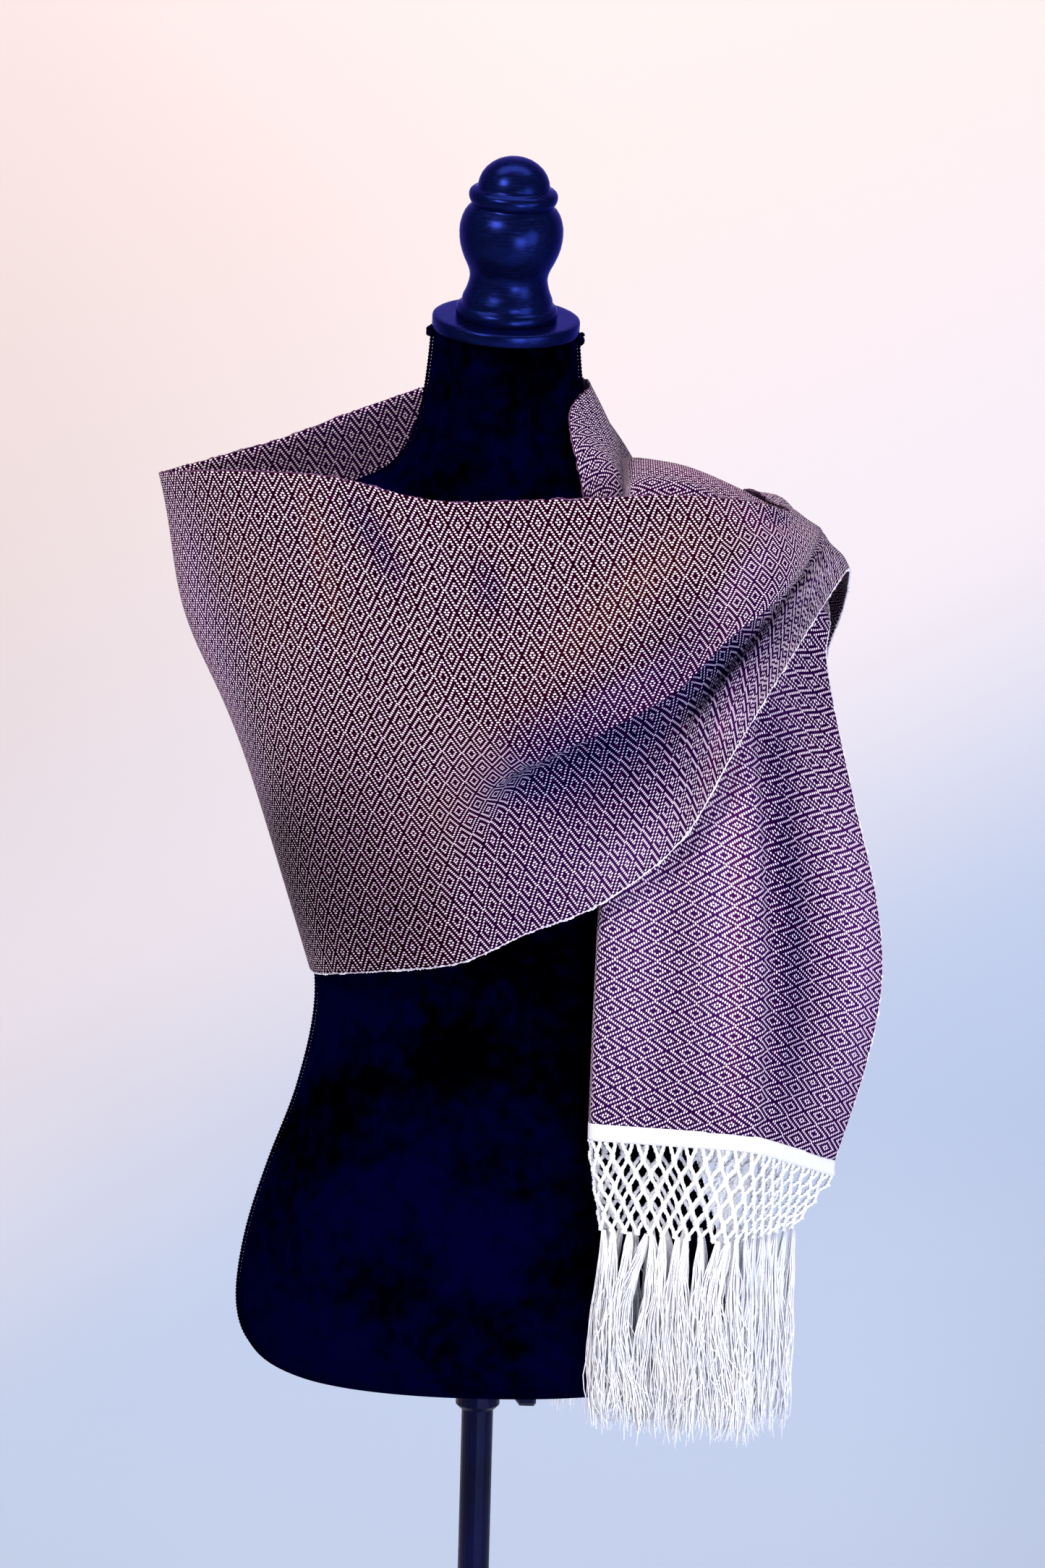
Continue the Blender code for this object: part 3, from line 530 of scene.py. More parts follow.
# Painted light on the lit ridges of the hanging end and the fold, and along the left contour
litLines = (
    (0.0, 0.42, 6.0, 0.44, 0.028, 0.8),
    (0.0, 0.64, 6.5, 0.64, 0.026, 1.0),
    (0.3, 0.95, 4.6, 0.95, 0.026, 0.9),
    (4.6, 0.8, 6.6, 0.84, 0.02, 0.4),
    (24.6, 0.78, 25.2, 0.96, 0.02, 0.6),
    (25.6, 0.6, 27.2, 0.9, 0.02, 0.55),
    (22.6, 0.92, 24.2, 0.94, 0.024, 0.55),
    (24.2, 0.4, 25.3, 0.22, 0.012, 0.5),
    (22.4, 0.5, 24.2, 0.4, 0.01, 0.65),
    (17.55, 0.0, 17.6, 1.0, 0.034, 0.9),
)
# Painted magenta sheen where the cloth turns at grazing angles: the fold's lip, the shoulder and the left
# contour
magentaLines = (
    (24.7, 0.42, 25.2, 0.74, 0.01, 0.85),
    (25.2, 0.7, 24.4, 1.0, 0.012, 0.7),
    (7.8, 0.45, 10.8, 0.6, 0.05, 0.9),
    (9.2, 0.75, 10.8, 0.8, 0.03, 0.6),
    (24.3, 0.0, 26.4, 0.2, 0.018, 0.45),
    (17.45, 0.05, 17.5, 0.9, 0.016, 0.8),
    (21.9, 0.6, 24.6, 0.44, 0.01, 0.8),
    (0.0, 0.66, 6.2, 0.66, 0.007, 0.55),
)
# The low left of the front panel turns away from the light
dimLines = (
    (17.9, 0.6, 18.4, 0.98, 0.045, 0.8),
    (18.4, 0.92, 21.2, 0.9, 0.085, 0.85),
    (18.2, 0.62, 20.4, 0.7, 0.06, 0.4),
    (22.2, 0.66, 24.2, 0.61, 0.03, 0.55),
    (9.6, 0.14, 11.2, 0.16, 0.04, 0.5),
)


def toneValues(place, share, points):
    # Painted sheen: maroon on the chest; violet under the fold, on the hanging end and at the back. Painted
    # light, sheen, highlight and shade follow their lines, held back under the painted shadow
    foldAt = np.interp(place[:, 0], np.arange(len(forms)), forms[:, 1])[:, None]
    violetSheen = np.clip((share - foldAt + 0.1) / 0.1, 0.0, 1.0) + np.clip((place - 24.6) / 1.2, 0.0, 1.0)
    violetSheen = np.minimum(violetSheen, 1.0)
    onPanel = np.clip((place - 20.8) / 1.6, 0.0, 1.0) * np.clip((29.0 - place) / 1.0, 0.0, 1.0)
    elsewhere = np.clip((16.5 - place) / 2.0, 0.0, 1.0) + np.clip(place - 28.0, 0.0, 1.0)

    def painted(lines):
        return np.clip(alongLines(lines, place, share, points), 0.0, 1.0)

    values = {"violetSheen": np.clip(violetSheen * onPanel + elsewhere, 0.0, 1.0), "shade": painted(shadeLines)}
    lines = {"lit": litLines, "magenta": magentaLines, "ember": emberLines, "dim": dimLines}
    for name in lines:
        values[name] = painted(lines[name]) * (1.0 - values["shade"])
    return values


# Where widths counted from both selvages meet: place, share, half the blend
meetRows = (
    (0.0, 0.33, 0.02),
    (9.5, 0.33, 0.02),
    (11.5, 0.5, 0.3),
    (20.5, 0.62, 0.34),
    (21.5, 0.61, 0.14),
    (22.2, 0.595, 0.03),
    (23.0, 0.55, 0.028),
    (24.0, 0.508, 0.032),
    (25.0, 0.455, 0.035),
    (26.0, 0.41, 0.03),
    (27.0, 0.42, 0.05),
    (28.0, 0.5, 0.3),
    (34.0, 0.5, 0.3),
)
# Soft creases: place and share at each end, width across in metres, rise
creases = (
    (-0.5, 0.745, 6.2, 0.735, 0.007, -0.0052),
    (-0.5, 0.685, 6.0, 0.69, 0.008, 0.0022),
    (-0.5, 0.945, 4.6, 0.95, 0.012, 0.0024),
    (19.6, 0.02, 20.3, 0.62, 0.016, -0.0022),
    (20.4, 0.0, 21.3, 0.3, 0.012, 0.002),
    (21.2, 0.05, 23.6, 0.12, 0.012, -0.0018),
    (20.2, 0.86, 22.0, 0.7, 0.02, 0.0022),
    (21.6, 0.8, 24.2, 0.7, 0.014, 0.002),
    (22.2, 0.92, 24.6, 0.86, 0.012, -0.0016),
    (23.2, 0.3, 25.8, 0.14, 0.014, 0.0032),
    (23.8, 0.18, 26.2, 0.06, 0.009, -0.0024),
    (0.4, 0.5, 5.0, 0.52, 0.02, -0.0026),
    (0.2, 0.62, 3.4, 0.6, 0.012, 0.0016),
    (1.2, 0.82, 4.6, 0.88, 0.016, -0.0028),
    (0.3, 0.92, 2.6, 0.94, 0.01, 0.0018),
    (13.0, 0.1, 15.0, 0.55, 0.022, 0.003),
    (13.8, 0.55, 15.6, 0.9, 0.018, -0.0022),
    (12.2, 0.25, 13.6, 0.85, 0.02, 0.0026),
)


def blendRows(before, start, end, after, part):
    square = part * part
    cube = square * part
    return 0.5 * (
        2.0 * start
        + (end - before) * part
        + (2.0 * before - 5.0 * start + 4.0 * end - after) * square
        + (3.0 * start - 3.0 * end + after - before) * cube
    )


def fourRows(count, place):
    low = np.clip(np.floor(place).astype(int), 0, count - 2)
    rows = [np.maximum(low - 1, 0), low, low + 1, np.minimum(low + 2, count - 1)]
    return rows, place - low


def roundedPath(corners, radii):
    path = [corners[0]]
    marks = []
    for i in range(1, len(corners) - 1):
        here = corners[i]
        back = corners[i - 1] - here
        ahead = corners[i + 1] - here
        backLong, aheadLong = np.linalg.norm(back), np.linalg.norm(ahead)
        reach = min(radii[i - 1], 0.49 * backLong, 0.49 * aheadLong)
        enter = here + back / backLong * reach
        leave = here + ahead / aheadLong * reach
        for w in np.linspace(0.0, 1.0, 7):
            path.append(enter * (1 - w) ** 2 + here * 2 * w * (1 - w) + leave * w * w)
        marks.append(len(path) - 4)
    path.append(corners[-1])
    return np.array(path), marks


def spreadSamples(path, marks, shares):
    stops = lengthsAlong(path)[[0] + list(marks) + [-1]]
    places = [0.0] + list(shares) + [1.0]
    return atLengths(path, np.interp(np.linspace(0.0, 1.0, cloth["samples"] + 1), places, stops))


def fallSection(row):
    height, turnX, topX, topY, ridgeX, ridgeY, outerX, outerY, drop = row
    corners = np.array([
        (topX, topY, height),
        (turnX, cloth["turnY"], height),
        (turnX, cloth["turnY"] - cloth["turnDepth"], height),
        (ridgeX, ridgeY, height + cloth["ridgeLift"]),
        (outerX, outerY, height - drop),
    ])
    radii = (cloth["turnRadius"], cloth["turnRadius"], cloth["ridgeRadius"])
    path, marks = roundedPath(corners, radii)
    return spreadSamples(path, marks, (cloth["turnStart"], cloth["turnEnd"], cloth["ridgeAt"]))


def shoulderSection(move):
    moveY, moveZ, climbX, climbY, climbZ, rise = move
    points = np.array([
        (x + climb * climbX, y + moveY + climb * climbY, z + moveZ + climb * climbZ + hollow * rise)
        for x, y, z, climb, hollow in shoulderFolds
    ])
    path = []
    for i in range(len(points) - 1):
        rows, _ = fourRows(len(points), np.array(float(i)))
        for k in range(6):
            path.append(blendRows(*[points[r] for r in rows], k / 6.0))
    path.append(points[-1])
    middle = 0.5 * (cloth["turnStart"] + cloth["turnEnd"])
    return spreadSamples(np.array(path), [valleyRow * 6], [middle])


def openSection(row):
    part = np.linspace(0.0, 1.0, cloth["samples"] + 1)[:, None]
    return np.array(row[0:3]) * (1.0 - part) + np.array(row[3:6]) * part


sections = np.array(
    [fallSection(row) for row in fallRows]
    + [shoulderSection(move) for move in shoulderMoves]
    + [openSection(row) for row in openRows]
)
plainForms = [(0.0, 0.5, 0.0, 0.0)] * (len(fallRows) + len(shoulderMoves))
forms = np.array(plainForms + [row[6:] for row in openRows])
lastPlace = len(sections) - 1.0


def basePoint(place, share):
    rows, part = fourRows(len(sections), place)
    at = np.clip(share, 0.0, 1.0) * cloth["samples"]
    low = np.minimum(at.astype(int), cloth["samples"] - 1)
    off = (at - low)[..., None]
    spots = [sections[r, low] * (1.0 - off) + sections[r, low + 1] * off for r in rows]
    return blendRows(*spots, part[..., None])


def slopes(point, place, share, step):
    travel = point(np.minimum(place + step, lastPlace), share) - point(np.maximum(place - step, 0.0), share)
    across = point(place, np.minimum(share + step, 1.0)) - point(place, np.maximum(share - step, 0.0))
    return travel, across


def clothPoint(place, share):
    rows, part = fourRows(len(sections), place)
    bow, foldAt, foldOut, hang = [
        blendRows(*[forms[r, column] for r in rows], part) for column in range(4)
    ]
    sharp = np.clip((place - cloth["sharpFrom"]) / (cloth["sharpBy"] - cloth["sharpFrom"]), 0.0, 1.0)

    def value(name):
        soft, crisp = cloth[name]
        return soft + (crisp - soft) * sharp

    travel, across = slopes(basePoint, place, share, 0.02)
    normal, down = unit(np.cross(across, travel)), unit(across)
    off = share - foldAt
    width = np.where(off < 0, value("foldAbove"), value("foldBelow"))
    ridge = np.exp(-((off / width) ** 2))
    valley = np.exp(-(((off - cloth["valleyOff"]) / cloth["valleyWide"]) ** 2))
    lift = bow * 4.0 * share * (1.0 - share)
    lift = lift + foldOut * (ridge - value("valleyShare") * valley)
    lift = lift + hang * (1.0 - np.cos(2.0 * np.pi * cloth["hangingFolds"] * share))
    sagWide = np.where(off < 0, value("sagAbove"), value("sagBelow"))
    sag = foldOut * value("foldSag") * np.exp(-((off / sagWide) ** 2))
    return basePoint(place, share) + normal * lift[..., None] + down * sag[..., None]


def clothNormal(place, share):
    travel, across = slopes(clothPoint, place, share, 0.01)
    return unit(np.cross(across, travel))


def alongLines(lines, place, share, points):
    # Distance to each line is taken on the cloth itself, in metres
    lift = np.zeros(place.shape)
    for startPlace, startShare, endPlace, endShare, width, rise in lines:
        longPlace, longShare = endPlace - startPlace, endShare - startShare
        near = (place > startPlace - 2.0) & (place < endPlace + 2.0)
        alongPart = np.clip(
            ((place - startPlace) * longPlace * 0.01 + (share - startShare) * longShare)
            / (longPlace ** 2 * 0.01 + longShare ** 2), 0.0, 1.0,
        )
        line = clothPoint(startPlace + longPlace * alongPart, startShare + longShare * alongPart)
        gap = np.linalg.norm(points - line, axis=-1)
        body = np.sin(np.pi * np.clip(alongPart, 0.03, 0.97)) ** 0.6
        lift += np.where(near, rise * body * np.exp(-((gap / width) ** 2)), 0.0)
    return lift


def easeIn(part):
    part = np.clip(part, 0.0, 1.0)
    return part * part * (3.0 - 2.0 * part)


def trueAcross(place, share, points):
    # Widths run true from each selvage and meet in a hidden stretch, where there is one
    gaps = np.linalg.norm(np.diff(points, axis=1), axis=2)
    fromTop = np.concatenate((np.zeros((len(points), 1)), np.cumsum(gaps, axis=1)), axis=1)
    fromLow = weave["width"] - (fromTop[:, -1:] - fromTop)
    rows = place[:, 0]
    at, meetAt, reachAt = np.array(meetRows).T
    meet, reach = np.interp(rows, at, meetAt), np.interp(rows, at, reachAt)
    part = easeIn((share - (meet - reach)[:, None]) / (2.0 * reach)[:, None])
    return fromTop * (1.0 - part) + fromLow * part


def makeCloth():
    # Even steps along the strip, measured on its mean length
    fine = np.linspace(0.0, lastPlace, 1200)
    shares = np.linspace(0.0, 1.0, 9)
    coarse = clothPoint(*np.meshgrid(fine, shares, indexing="ij"))
    steps = np.linalg.norm(np.diff(coarse, axis=0), axis=2).mean(axis=1)
    mean = np.concatenate(([0.0], np.cumsum(steps)))
    count = int(mean[-1] / cloth["alongCell"])
    places = np.interp(np.linspace(0.0, mean[-1], count + 1), mean, fine)
    # Columns stand closest in the turn and about the overhanging fold
    even = np.linspace(0.0, 1.0, 400)
    dense = 1.0 + cloth["denser"] * np.clip(8.0 * (0.16 - abs(even - 0.45)), 0.0, 1.0)
    dense = np.concatenate(([0.0], np.cumsum(0.5 * (dense[1:] + dense[:-1]))))
    shares = np.interp(np.linspace(0.0, dense[-1], cloth["acrossCells"] + 1), dense, even)
    place, share = np.meshgrid(places, shares, indexing="ij")
    points = clothPoint(place, share)
    lift = alongLines(creases, place, share, points)
    points = points + clothNormal(place, share) * lift[..., None]
    # Warp lengths run true from the two headings and from the chest
    run = np.concatenate((
        np.zeros((1, share.shape[1])),
        np.cumsum(np.linalg.norm(np.diff(points, axis=0), axis=2), axis=0),
    ))
    anchors = (0.0, 20.0, lastPlace)
    lines = [run[np.argmin(abs(places - anchor))] for anchor in anchors]
    offsets = [line - line.mean() for line in lines]
    toChest = easeIn((places - 6.5) / 5.0)[:, None]
    toBack = easeIn((places - 27.5) / 3.5)[:, None]
    along = run - offsets[0] * (1.0 - toChest) - offsets[1] * toChest * (1.0 - toBack) - offsets[2] * toBack
    uvs = np.stack((along, trueAcross(place, share, points)), axis=-1).reshape(-1, 2)
    rows, columns = place.shape
    faces = gridFaces(rows, columns)
    obj = addMesh("rebozo_cloth_strip", points.reshape(-1, 3), faces, materials["cloth"], uvs)
    for name, values in toneValues(place, share, points).items():
        layer = obj.data.attributes.new(name, "FLOAT", "POINT")
        layer.data.foreach_set("value", values.astype(np.float32).ravel())
    solidify(obj, cloth["thickness"])
    settle(
        obj, "rebozo_cloth", "cloth_front_end", "cloth_shoulder_under", "cloth_back_wrap",
        "cloth_left_turn", "cloth_front_panel", "cloth_shoulder_throw", "cloth_back_end",
    )
    print("cloth", rows, columns, "length", round(float(mean[-1]), 3))
    return obj, float(mean[-1]), points


clothObject, clothLong, clothPoints = makeCloth()


# Selvages: small beads of weft along both edges
selvage = {"radius": 0.00052, "step": 0.001, "beat": 0.0022, "sides": 5, "loose": 0.00028}


def edgeCord(line, material, slot, name, radius):
    total = lengthsAlong(line)[-1]
    count = int(total / selvage["step"])
    want = np.linspace(0.0, total, count + 1)
    path = atLengths(line, want)
    # Loops of weft stand out from the edge unevenly
    loose = rng.normal(0.0, selvage["loose"], (count + 1, 3))
    loose += np.stack([np.convolve(loose[:, k], np.ones(7) / 3.0, "same") for k in range(3)], axis=1)
    path = path + loose
    taper = 0.72 + 0.28 * np.cos(2.0 * np.pi * want / selvage["beat"]) + rng.uniform(-0.15, 0.25, count + 1)
    points, faces = tubes(path[None], [radius], selvage["sides"], taper[None])
    obj = addMesh(name, points, faces, materials[material])
    settle(obj, slot)
    return obj


selvages = [
    edgeCord(clothPoints[:, -1], "yarn", "white_yarn", "lower_selvage_yarn", selvage["radius"]),
    edgeCord(clothPoints[:, 0], "loops", "rebozo_cloth", "upper_selvage_loops", selvage["radius"] * 1.1),
]
print("selvages made")


# Ends: heading, knotted net and fringe
ends = {
    "headingTall": 0.012,
    "headingThick": 0.0016,
    "columns": 28,
    "rows": 6,
    "yarnRadius": 0.0006,
    "cordRadius": 0.00076,
    "knotRadius": 0.00135,
    "knotYarn": 0.00078,
    "fringeLong": 0.142,
    "yarnsEach": 38,
    "yarnSteps": 15,
    "uneven": 0.035,
    "strayShare": 0.06,
    "strayTimes": 3.2,
    "openTop": 0.0016,
    "openLow": 0.005,
    "wave": 0.0022,
    "curl": 0.0014,
    "drift": 0.0016,
    "deepDrift": 0.0014,
    "lockWave": 0.0036,
    "lockLean": 0.0026,
    "lockDeep": 0.0025,
}
frontKnots = {
    "height": 0.945, "fromX": 0.165, "middleX": 0.157, "narrowing": 0.79, "back": 0.15, "spread": 0.02,
}
backKnots = {
    "height": 0.88, "fromX": 0.144, "middleX": 0.14, "narrowing": 0.85, "back": 0.0, "spread": 0.03,
}


def headingLine(place, share):
    return clothPoint(np.full(np.shape(share), place), np.asarray(share, float))


def netPoint(down, share, place, knots):
    start = headingLine(place, share)
    start[..., 2] -= ends["headingTall"]
    knot = start.copy()
    knot[..., 0] = knots["middleX"] + (start[..., 0] - knots["fromX"]) * knots["narrowing"]
    knot[..., 1] += knots["back"] * np.maximum(0.0, cloth["turnY"] - start[..., 1])
    knot[..., 2] = knots["height"]
    down = np.asarray(down, float)[..., None]
    return start * (1.0 - down) + knot * down


def netNormal(down, share, place, knots):
    step = 0.006
    across = (
        netPoint(down, np.minimum(share + step, 1.0), place, knots)
        - netPoint(down, np.maximum(share - step, 0.0), place, knots)
    )
    level = np.stack((across[..., 1], -across[..., 0], np.zeros(across.shape[:-1])), axis=-1)
    return unit(level)


def makeHeading(name, cadName, place, sign):
    columns, rows = 160, 6
    share, level = np.meshgrid(np.linspace(0.0, 1.0, columns), np.linspace(0.0, 1.0, rows), indexing="xy")
    points = clothPoint(np.full(share.shape, place), share)
    points[..., 2] += 0.0006 - level * (ends["headingTall"] + 0.0006)
    uvs = np.stack((level * ends["headingTall"], share * weave["width"]), axis=-1).reshape(-1, 2)
    faces = gridFaces(rows, columns, flip=sign < 0)
    obj = addMesh(name, points.reshape(-1, 3), faces, materials["heading"], uvs)
    solidify(obj, ends["headingThick"])
    settle(obj, "white_yarn", cadName)
    return obj


def strandPaths(starts, stops, normals, bow):
    # Short cords that leave and meet their knots nearly upright
    steps = 8
    t = np.linspace(0.0, 1.0, steps)[None, :, None]
    span = np.linalg.norm(stops - starts, axis=1)[:, None, None]
    tangent = (stops - starts)[:, None, :] * 0.45 - upward * span * 0.55
    h00 = 2 * t ** 3 - 3 * t ** 2 + 1
    h10 = t ** 3 - 2 * t ** 2 + t
    h01 = -2 * t ** 3 + 3 * t ** 2
    h11 = t ** 3 - t ** 2
    path = h00 * starts[:, None, :] + h10 * tangent + h01 * stops[:, None, :] + h11 * tangent
    return path + normals[:, None, :] * (bow[:, None, None] * np.sin(np.pi * t))


def makeNet(name, cadName, place, knots):
    columns, rows = ends["columns"], ends["rows"]
    starts, stops, normals, bows = [], [], [], []
    knotSpots = []
    for row in range(rows):
        # Every other row of knots starts half a mesh further in
        shift = 0.5 if row % 2 == 0 else 0.0
        upper = [(i + shift) / columns for i in range(columns + (shift == 0.0))]
        if row > 0:
            knotSpots.extend((row / rows, s) for s in upper)
        for s in upper:
            for side in (-1.0, 1.0):
                target = s + side * 0.5 / columns
                if target < -1e-6 or target > 1.0 + 1e-6:
                    continue
                # Cords leave the heading a little apart
                leave = min(max(s + side * 0.2 / columns, 0.0), 1.0) if row == 0 else s
                down = np.array([row / rows, (row + 1) / rows])
                a, b = netPoint(down, np.array([leave, target]), place, knots)
                normal = netNormal(down[:1], np.array([s]), place, knots)[0]
                jitter = rng.normal(0.0, 0.00045, 3)
                starts.append(a + jitter * 0.5)
                stops.append(b - jitter * 0.5)
                normals.append(normal)
                bows.append(rng.normal(0.0, 0.0007))
    knotSpots.extend((1.0, (i + 0.5) / columns) for i in range(columns))
    starts, stops, normals, bows = map(np.array, (starts, stops, normals, bows))
    centre = strandPaths(starts, stops, normals, bows)
    first, second = frameAlong(centre)
    t = np.linspace(0.0, 1.0, centre.shape[1])[None, :, None]
    parts = []
    for yarn in range(3):
        turn = 2.0 * np.pi * (yarn / 3.0 + 1.1 * t) + rng.uniform(0.0, 0.8, (len(centre), 1, 1))
        offset = (first * np.cos(turn) + second * np.sin(turn)) * ends["cordRadius"] * 1.05
        parts.append(tubes(centre + offset, np.full(len(centre), ends["cordRadius"]), 4))
    # Knots: two close loops round the crossing
    downs, knotShares = np.array(knotSpots).T
    centres = netPoint(downs, knotShares, place, knots)
    knotNormals = netNormal(downs, knotShares, place, knots)
    sides = unit(np.cross(knotNormals, upward))
    loop = np.linspace(0.0, 1.0, 15)
    angle = 2.0 * np.pi * 1.9 * loop
    size = ends["knotRadius"]
    tilt = rng.uniform(-0.5, 0.5, (len(centres), 1))
    path = (
        centres[:, None, :]
        + sides[:, None, :] * (np.cos(angle) * size * 1.3)[None, :, None]
        + knotNormals[:, None, :] * (np.sin(angle) * size * 1.05)[None, :, None]
    )
    path[..., 2] += (1.0 - 2.0 * loop) * size + 0.5 * size * np.sin(angle) * tilt
    parts.append(tubes(path, np.full(len(centres), ends["knotYarn"]), 4))
    points, faces = mergeParts(parts)
    obj = addMesh(name, points, faces, materials["yarn"])
    settle(obj, "white_yarn", cadName)
    print(name, len(starts), "cords", len(centres), "knots")
    return obj


def makeFringe(name, cadName, place, knots):
    columns, each, steps = ends["columns"], ends["yarnsEach"], ends["yarnSteps"]
    knotAt = (np.ones(columns), (np.arange(columns) + 0.5) / columns, place, knots)
    roots, normals = netPoint(*knotAt), netNormal(*knotAt)
    sides = unit(np.cross(normals, upward))
    middleX = roots[:, 0].mean()
    t = np.linspace(0.0, 1.0, steps)
    paths = []
    for c in range(columns):
        lockPhase = rng.uniform(0.0, 6.28)
        lockWave = rng.normal(0.0, ends["lockWave"])
        lockLean = rng.normal(0.0, ends["lockLean"]) + (roots[c, 0] - middleX) * knots["spread"]
        lockDeep = rng.normal(0.0, ends["lockDeep"])
        for k in range(each):
            around = rng.uniform(0.0, 2.0 * np.pi)
            reach = math.sqrt(rng.uniform(0.0, 1.0))
            stray = 1.0 if rng.uniform() > ends["strayShare"] else ends["strayTimes"]
            length = ends["fringeLong"] * (1.0 + rng.normal(0.0, ends["uneven"]))
            length *= 1.0 if stray < 2 else rng.uniform(0.8, 1.06)
            opening = (ends["openTop"] + ends["openLow"] * np.minimum(t * 2.2, 1.0) ** 0.8) * reach
            wave = ends["wave"] * stray * np.sin(2.0 * np.pi * (1.3 * t + rng.uniform()) + lockPhase) * t
            curl = ends["curl"] * stray * np.sin(2.0 * np.pi * (3.1 * t + rng.uniform())) * np.sqrt(t)
            acrossShift = (
                opening * math.cos(around) + wave + curl
                + lockWave * np.sin(2.0 * np.pi * 0.9 * t + lockPhase) + lockLean * t
                + rng.normal(0.0, ends["drift"]) * stray * t ** 1.5
            )
            deepShift = (opening * math.sin(around) * 0.8 + lockDeep * t
                         + rng.normal(0.0, ends["deepDrift"]) * t)
            path = roots[c] + sides[c] * acrossShift[:, None] + normals[c] * deepShift[:, None]
            path[:, 2] -= length * t
            paths.append(path)
    paths = np.array(paths)
    taper = np.broadcast_to(1.0 - 0.25 * t, paths.shape[:2])
    points, faces = tubes(paths, np.full(len(paths), ends["yarnRadius"]), 3, taper)
    obj = addMesh(name, points, faces, materials["yarn"])
    settle(obj, "white_yarn", cadName)
    print(name, len(paths), "yarns")
    return obj


endPieces = [
    makeHeading("front_heading_band", "front_heading", 0.0, 1.0),
    makeHeading("back_heading_band", "back_heading", lastPlace, -1.0),
    makeNet("front_net_cords", "front_net", 0.0, frontKnots),
    makeNet("back_net_cords", "back_net", lastPlace, backKnots),
    makeFringe("front_fringe_yarns", "front_fringe", 0.0, frontKnots),
    makeFringe("back_fringe_yarns", "back_fringe", lastPlace, backKnots),
]
print("ends made")


# Form: the solid's rings run smooth, with its side cords
form = {
    "sides": 120,
    "rings": 150,
    "squareness": 2.2,
    "roundAbove": 1.475,
    "inset": 0.0006,
    "neckTop": 1.59,
    "leanFrom": 1.52,
    "leanFront": math.radians(13.5),
    "leanRight": math.radians(2.0),
    "cordRadius": 0.001,
}
torsoRings = (
    (0.8, 0.13, 0.075, 0.083),
    (0.8035, 0.15, 0.086, 0.095),
    (0.815, 0.17, 0.099, 0.109),
    (0.835, 0.1815, 0.108, 0.119),
    (0.865, 0.184, 0.111, 0.121),
    (0.91, 0.177, 0.107, 0.116),
    (0.96, 0.162, 0.101, 0.106),
    (1.02, 0.141, 0.094, 0.092),
    (1.085, 0.129, 0.09, 0.084),
    (1.15, 0.135, 0.098, 0.087),
    (1.21, 0.145, 0.114, 0.097),
    (1.27, 0.156, 0.1312, 0.1075),
    (1.32, 0.164, 0.1275, 0.112),
    (1.365, 0.172, 0.1115, 0.1075),
    (1.402, 0.172, 0.099, 0.0995),
    (1.432, 0.161, 0.0845, 0.0925),
    (1.454, 0.143, 0.074, 0.0835),
    (1.469, 0.12, 0.068, 0.0745),
    (1.479, 0.098, 0.064, 0.067),
    (1.489, 0.081, 0.061, 0.063),
    (1.505, 0.069, 0.0585, 0.06),
    (1.53, 0.06, 0.056, 0.057),
    (1.56, 0.0555, 0.054, 0.0545),
    (1.59, 0.053, 0.053, 0.053),
)


def torsoRows():
    table = np.array(torsoRings)
    places = np.linspace(0.0, len(table) - 1.0, form["rings"])
    rows, part = fourRows(len(table), places)
    return blendRows(*[table[r] for r in rows], part[:, None])


def torsoPoint(row, angle, out=0.0):
    height, halfWidth, front, back = row
    blend = min(max((form["roundAbove"] - height) / 0.03 + 0.5, 0.0), 1.0)
    power = 1.0 + (2.0 / form["squareness"] - 1.0) * blend
    c, s = np.cos(angle), np.sin(angle)
    depth = np.where(s > 0, back, front)
    x = (halfWidth + out) * np.copysign(abs(c) ** power, c)
    y = (depth + out) * np.copysign(abs(s) ** power, s)
    lean = max(0.0, height - form["leanFrom"]) / (form["neckTop"] - form["leanFrom"])
    rise = lean * (y * math.tan(form["leanFront"]) - x * math.tan(form["leanRight"]))
    return np.stack((x, y, height + rise), axis=-1)


def makeForm():
    angles = 2.0 * np.pi * np.arange(form["sides"]) / form["sides"]
    rows = torsoRows()
    rings = [torsoPoint(row, angles, -form["inset"]) for row in rows]
    under = rings[0] * np.array([0.1, 0.1, 1.0])
    middle = rings[-1].mean(axis=0)
    top = middle + (rings[-1] - middle) * 0.3
    points, faces = closedRings([under, *rings, top])
    settle(addMesh("velvet_form", points, faces, materials["velvet"]), "navy_velvet", "form_torso")
    return rows


def makeSideCords(rows):
    # Two strands laid together over each side seam, ending in a knot under the cap
    parts = []
    for side in (0.0, np.pi):
        line = np.array([torsoPoint(row, np.array(side), 0.0006) for row in rows])
        want = np.arange(0.0, lengthsAlong(line)[-1], 0.0011)
        path = atLengths(line, want)
        first, second = frameAlong(path[None])
        for strand in (0.0, np.pi):
            turn = (want * 2.0 * np.pi / 0.0052 + strand)[None, :, None]
            twisted = path[None] + (first * np.cos(turn) + second * np.sin(turn)) * form["cordRadius"] * 0.8
            parts.append(tubes(twisted, [form["cordRadius"] * 0.8], 5))
        end = line[-1] + np.array([math.cos(side) * 0.001, 0.0, -0.004])
        loop = np.linspace(0.0, 1.0, 26)
        angle = 2.0 * np.pi * 2.6 * loop
        knot = end[None, :] + np.stack((
            0.0026 * np.cos(angle),
            0.0034 * np.sin(angle),
            0.0065 * (0.5 - loop) + 0.0012 * np.sin(angle * 1.7),
        ), axis=1)
        parts.append(tubes(knot[None], [0.0015], 6))
    points, faces = mergeParts(parts)
    settle(addMesh("side_seam_cords", points, faces, materials["velvet"]), "navy_velvet")


makeSideCords(makeForm())
print("form made")


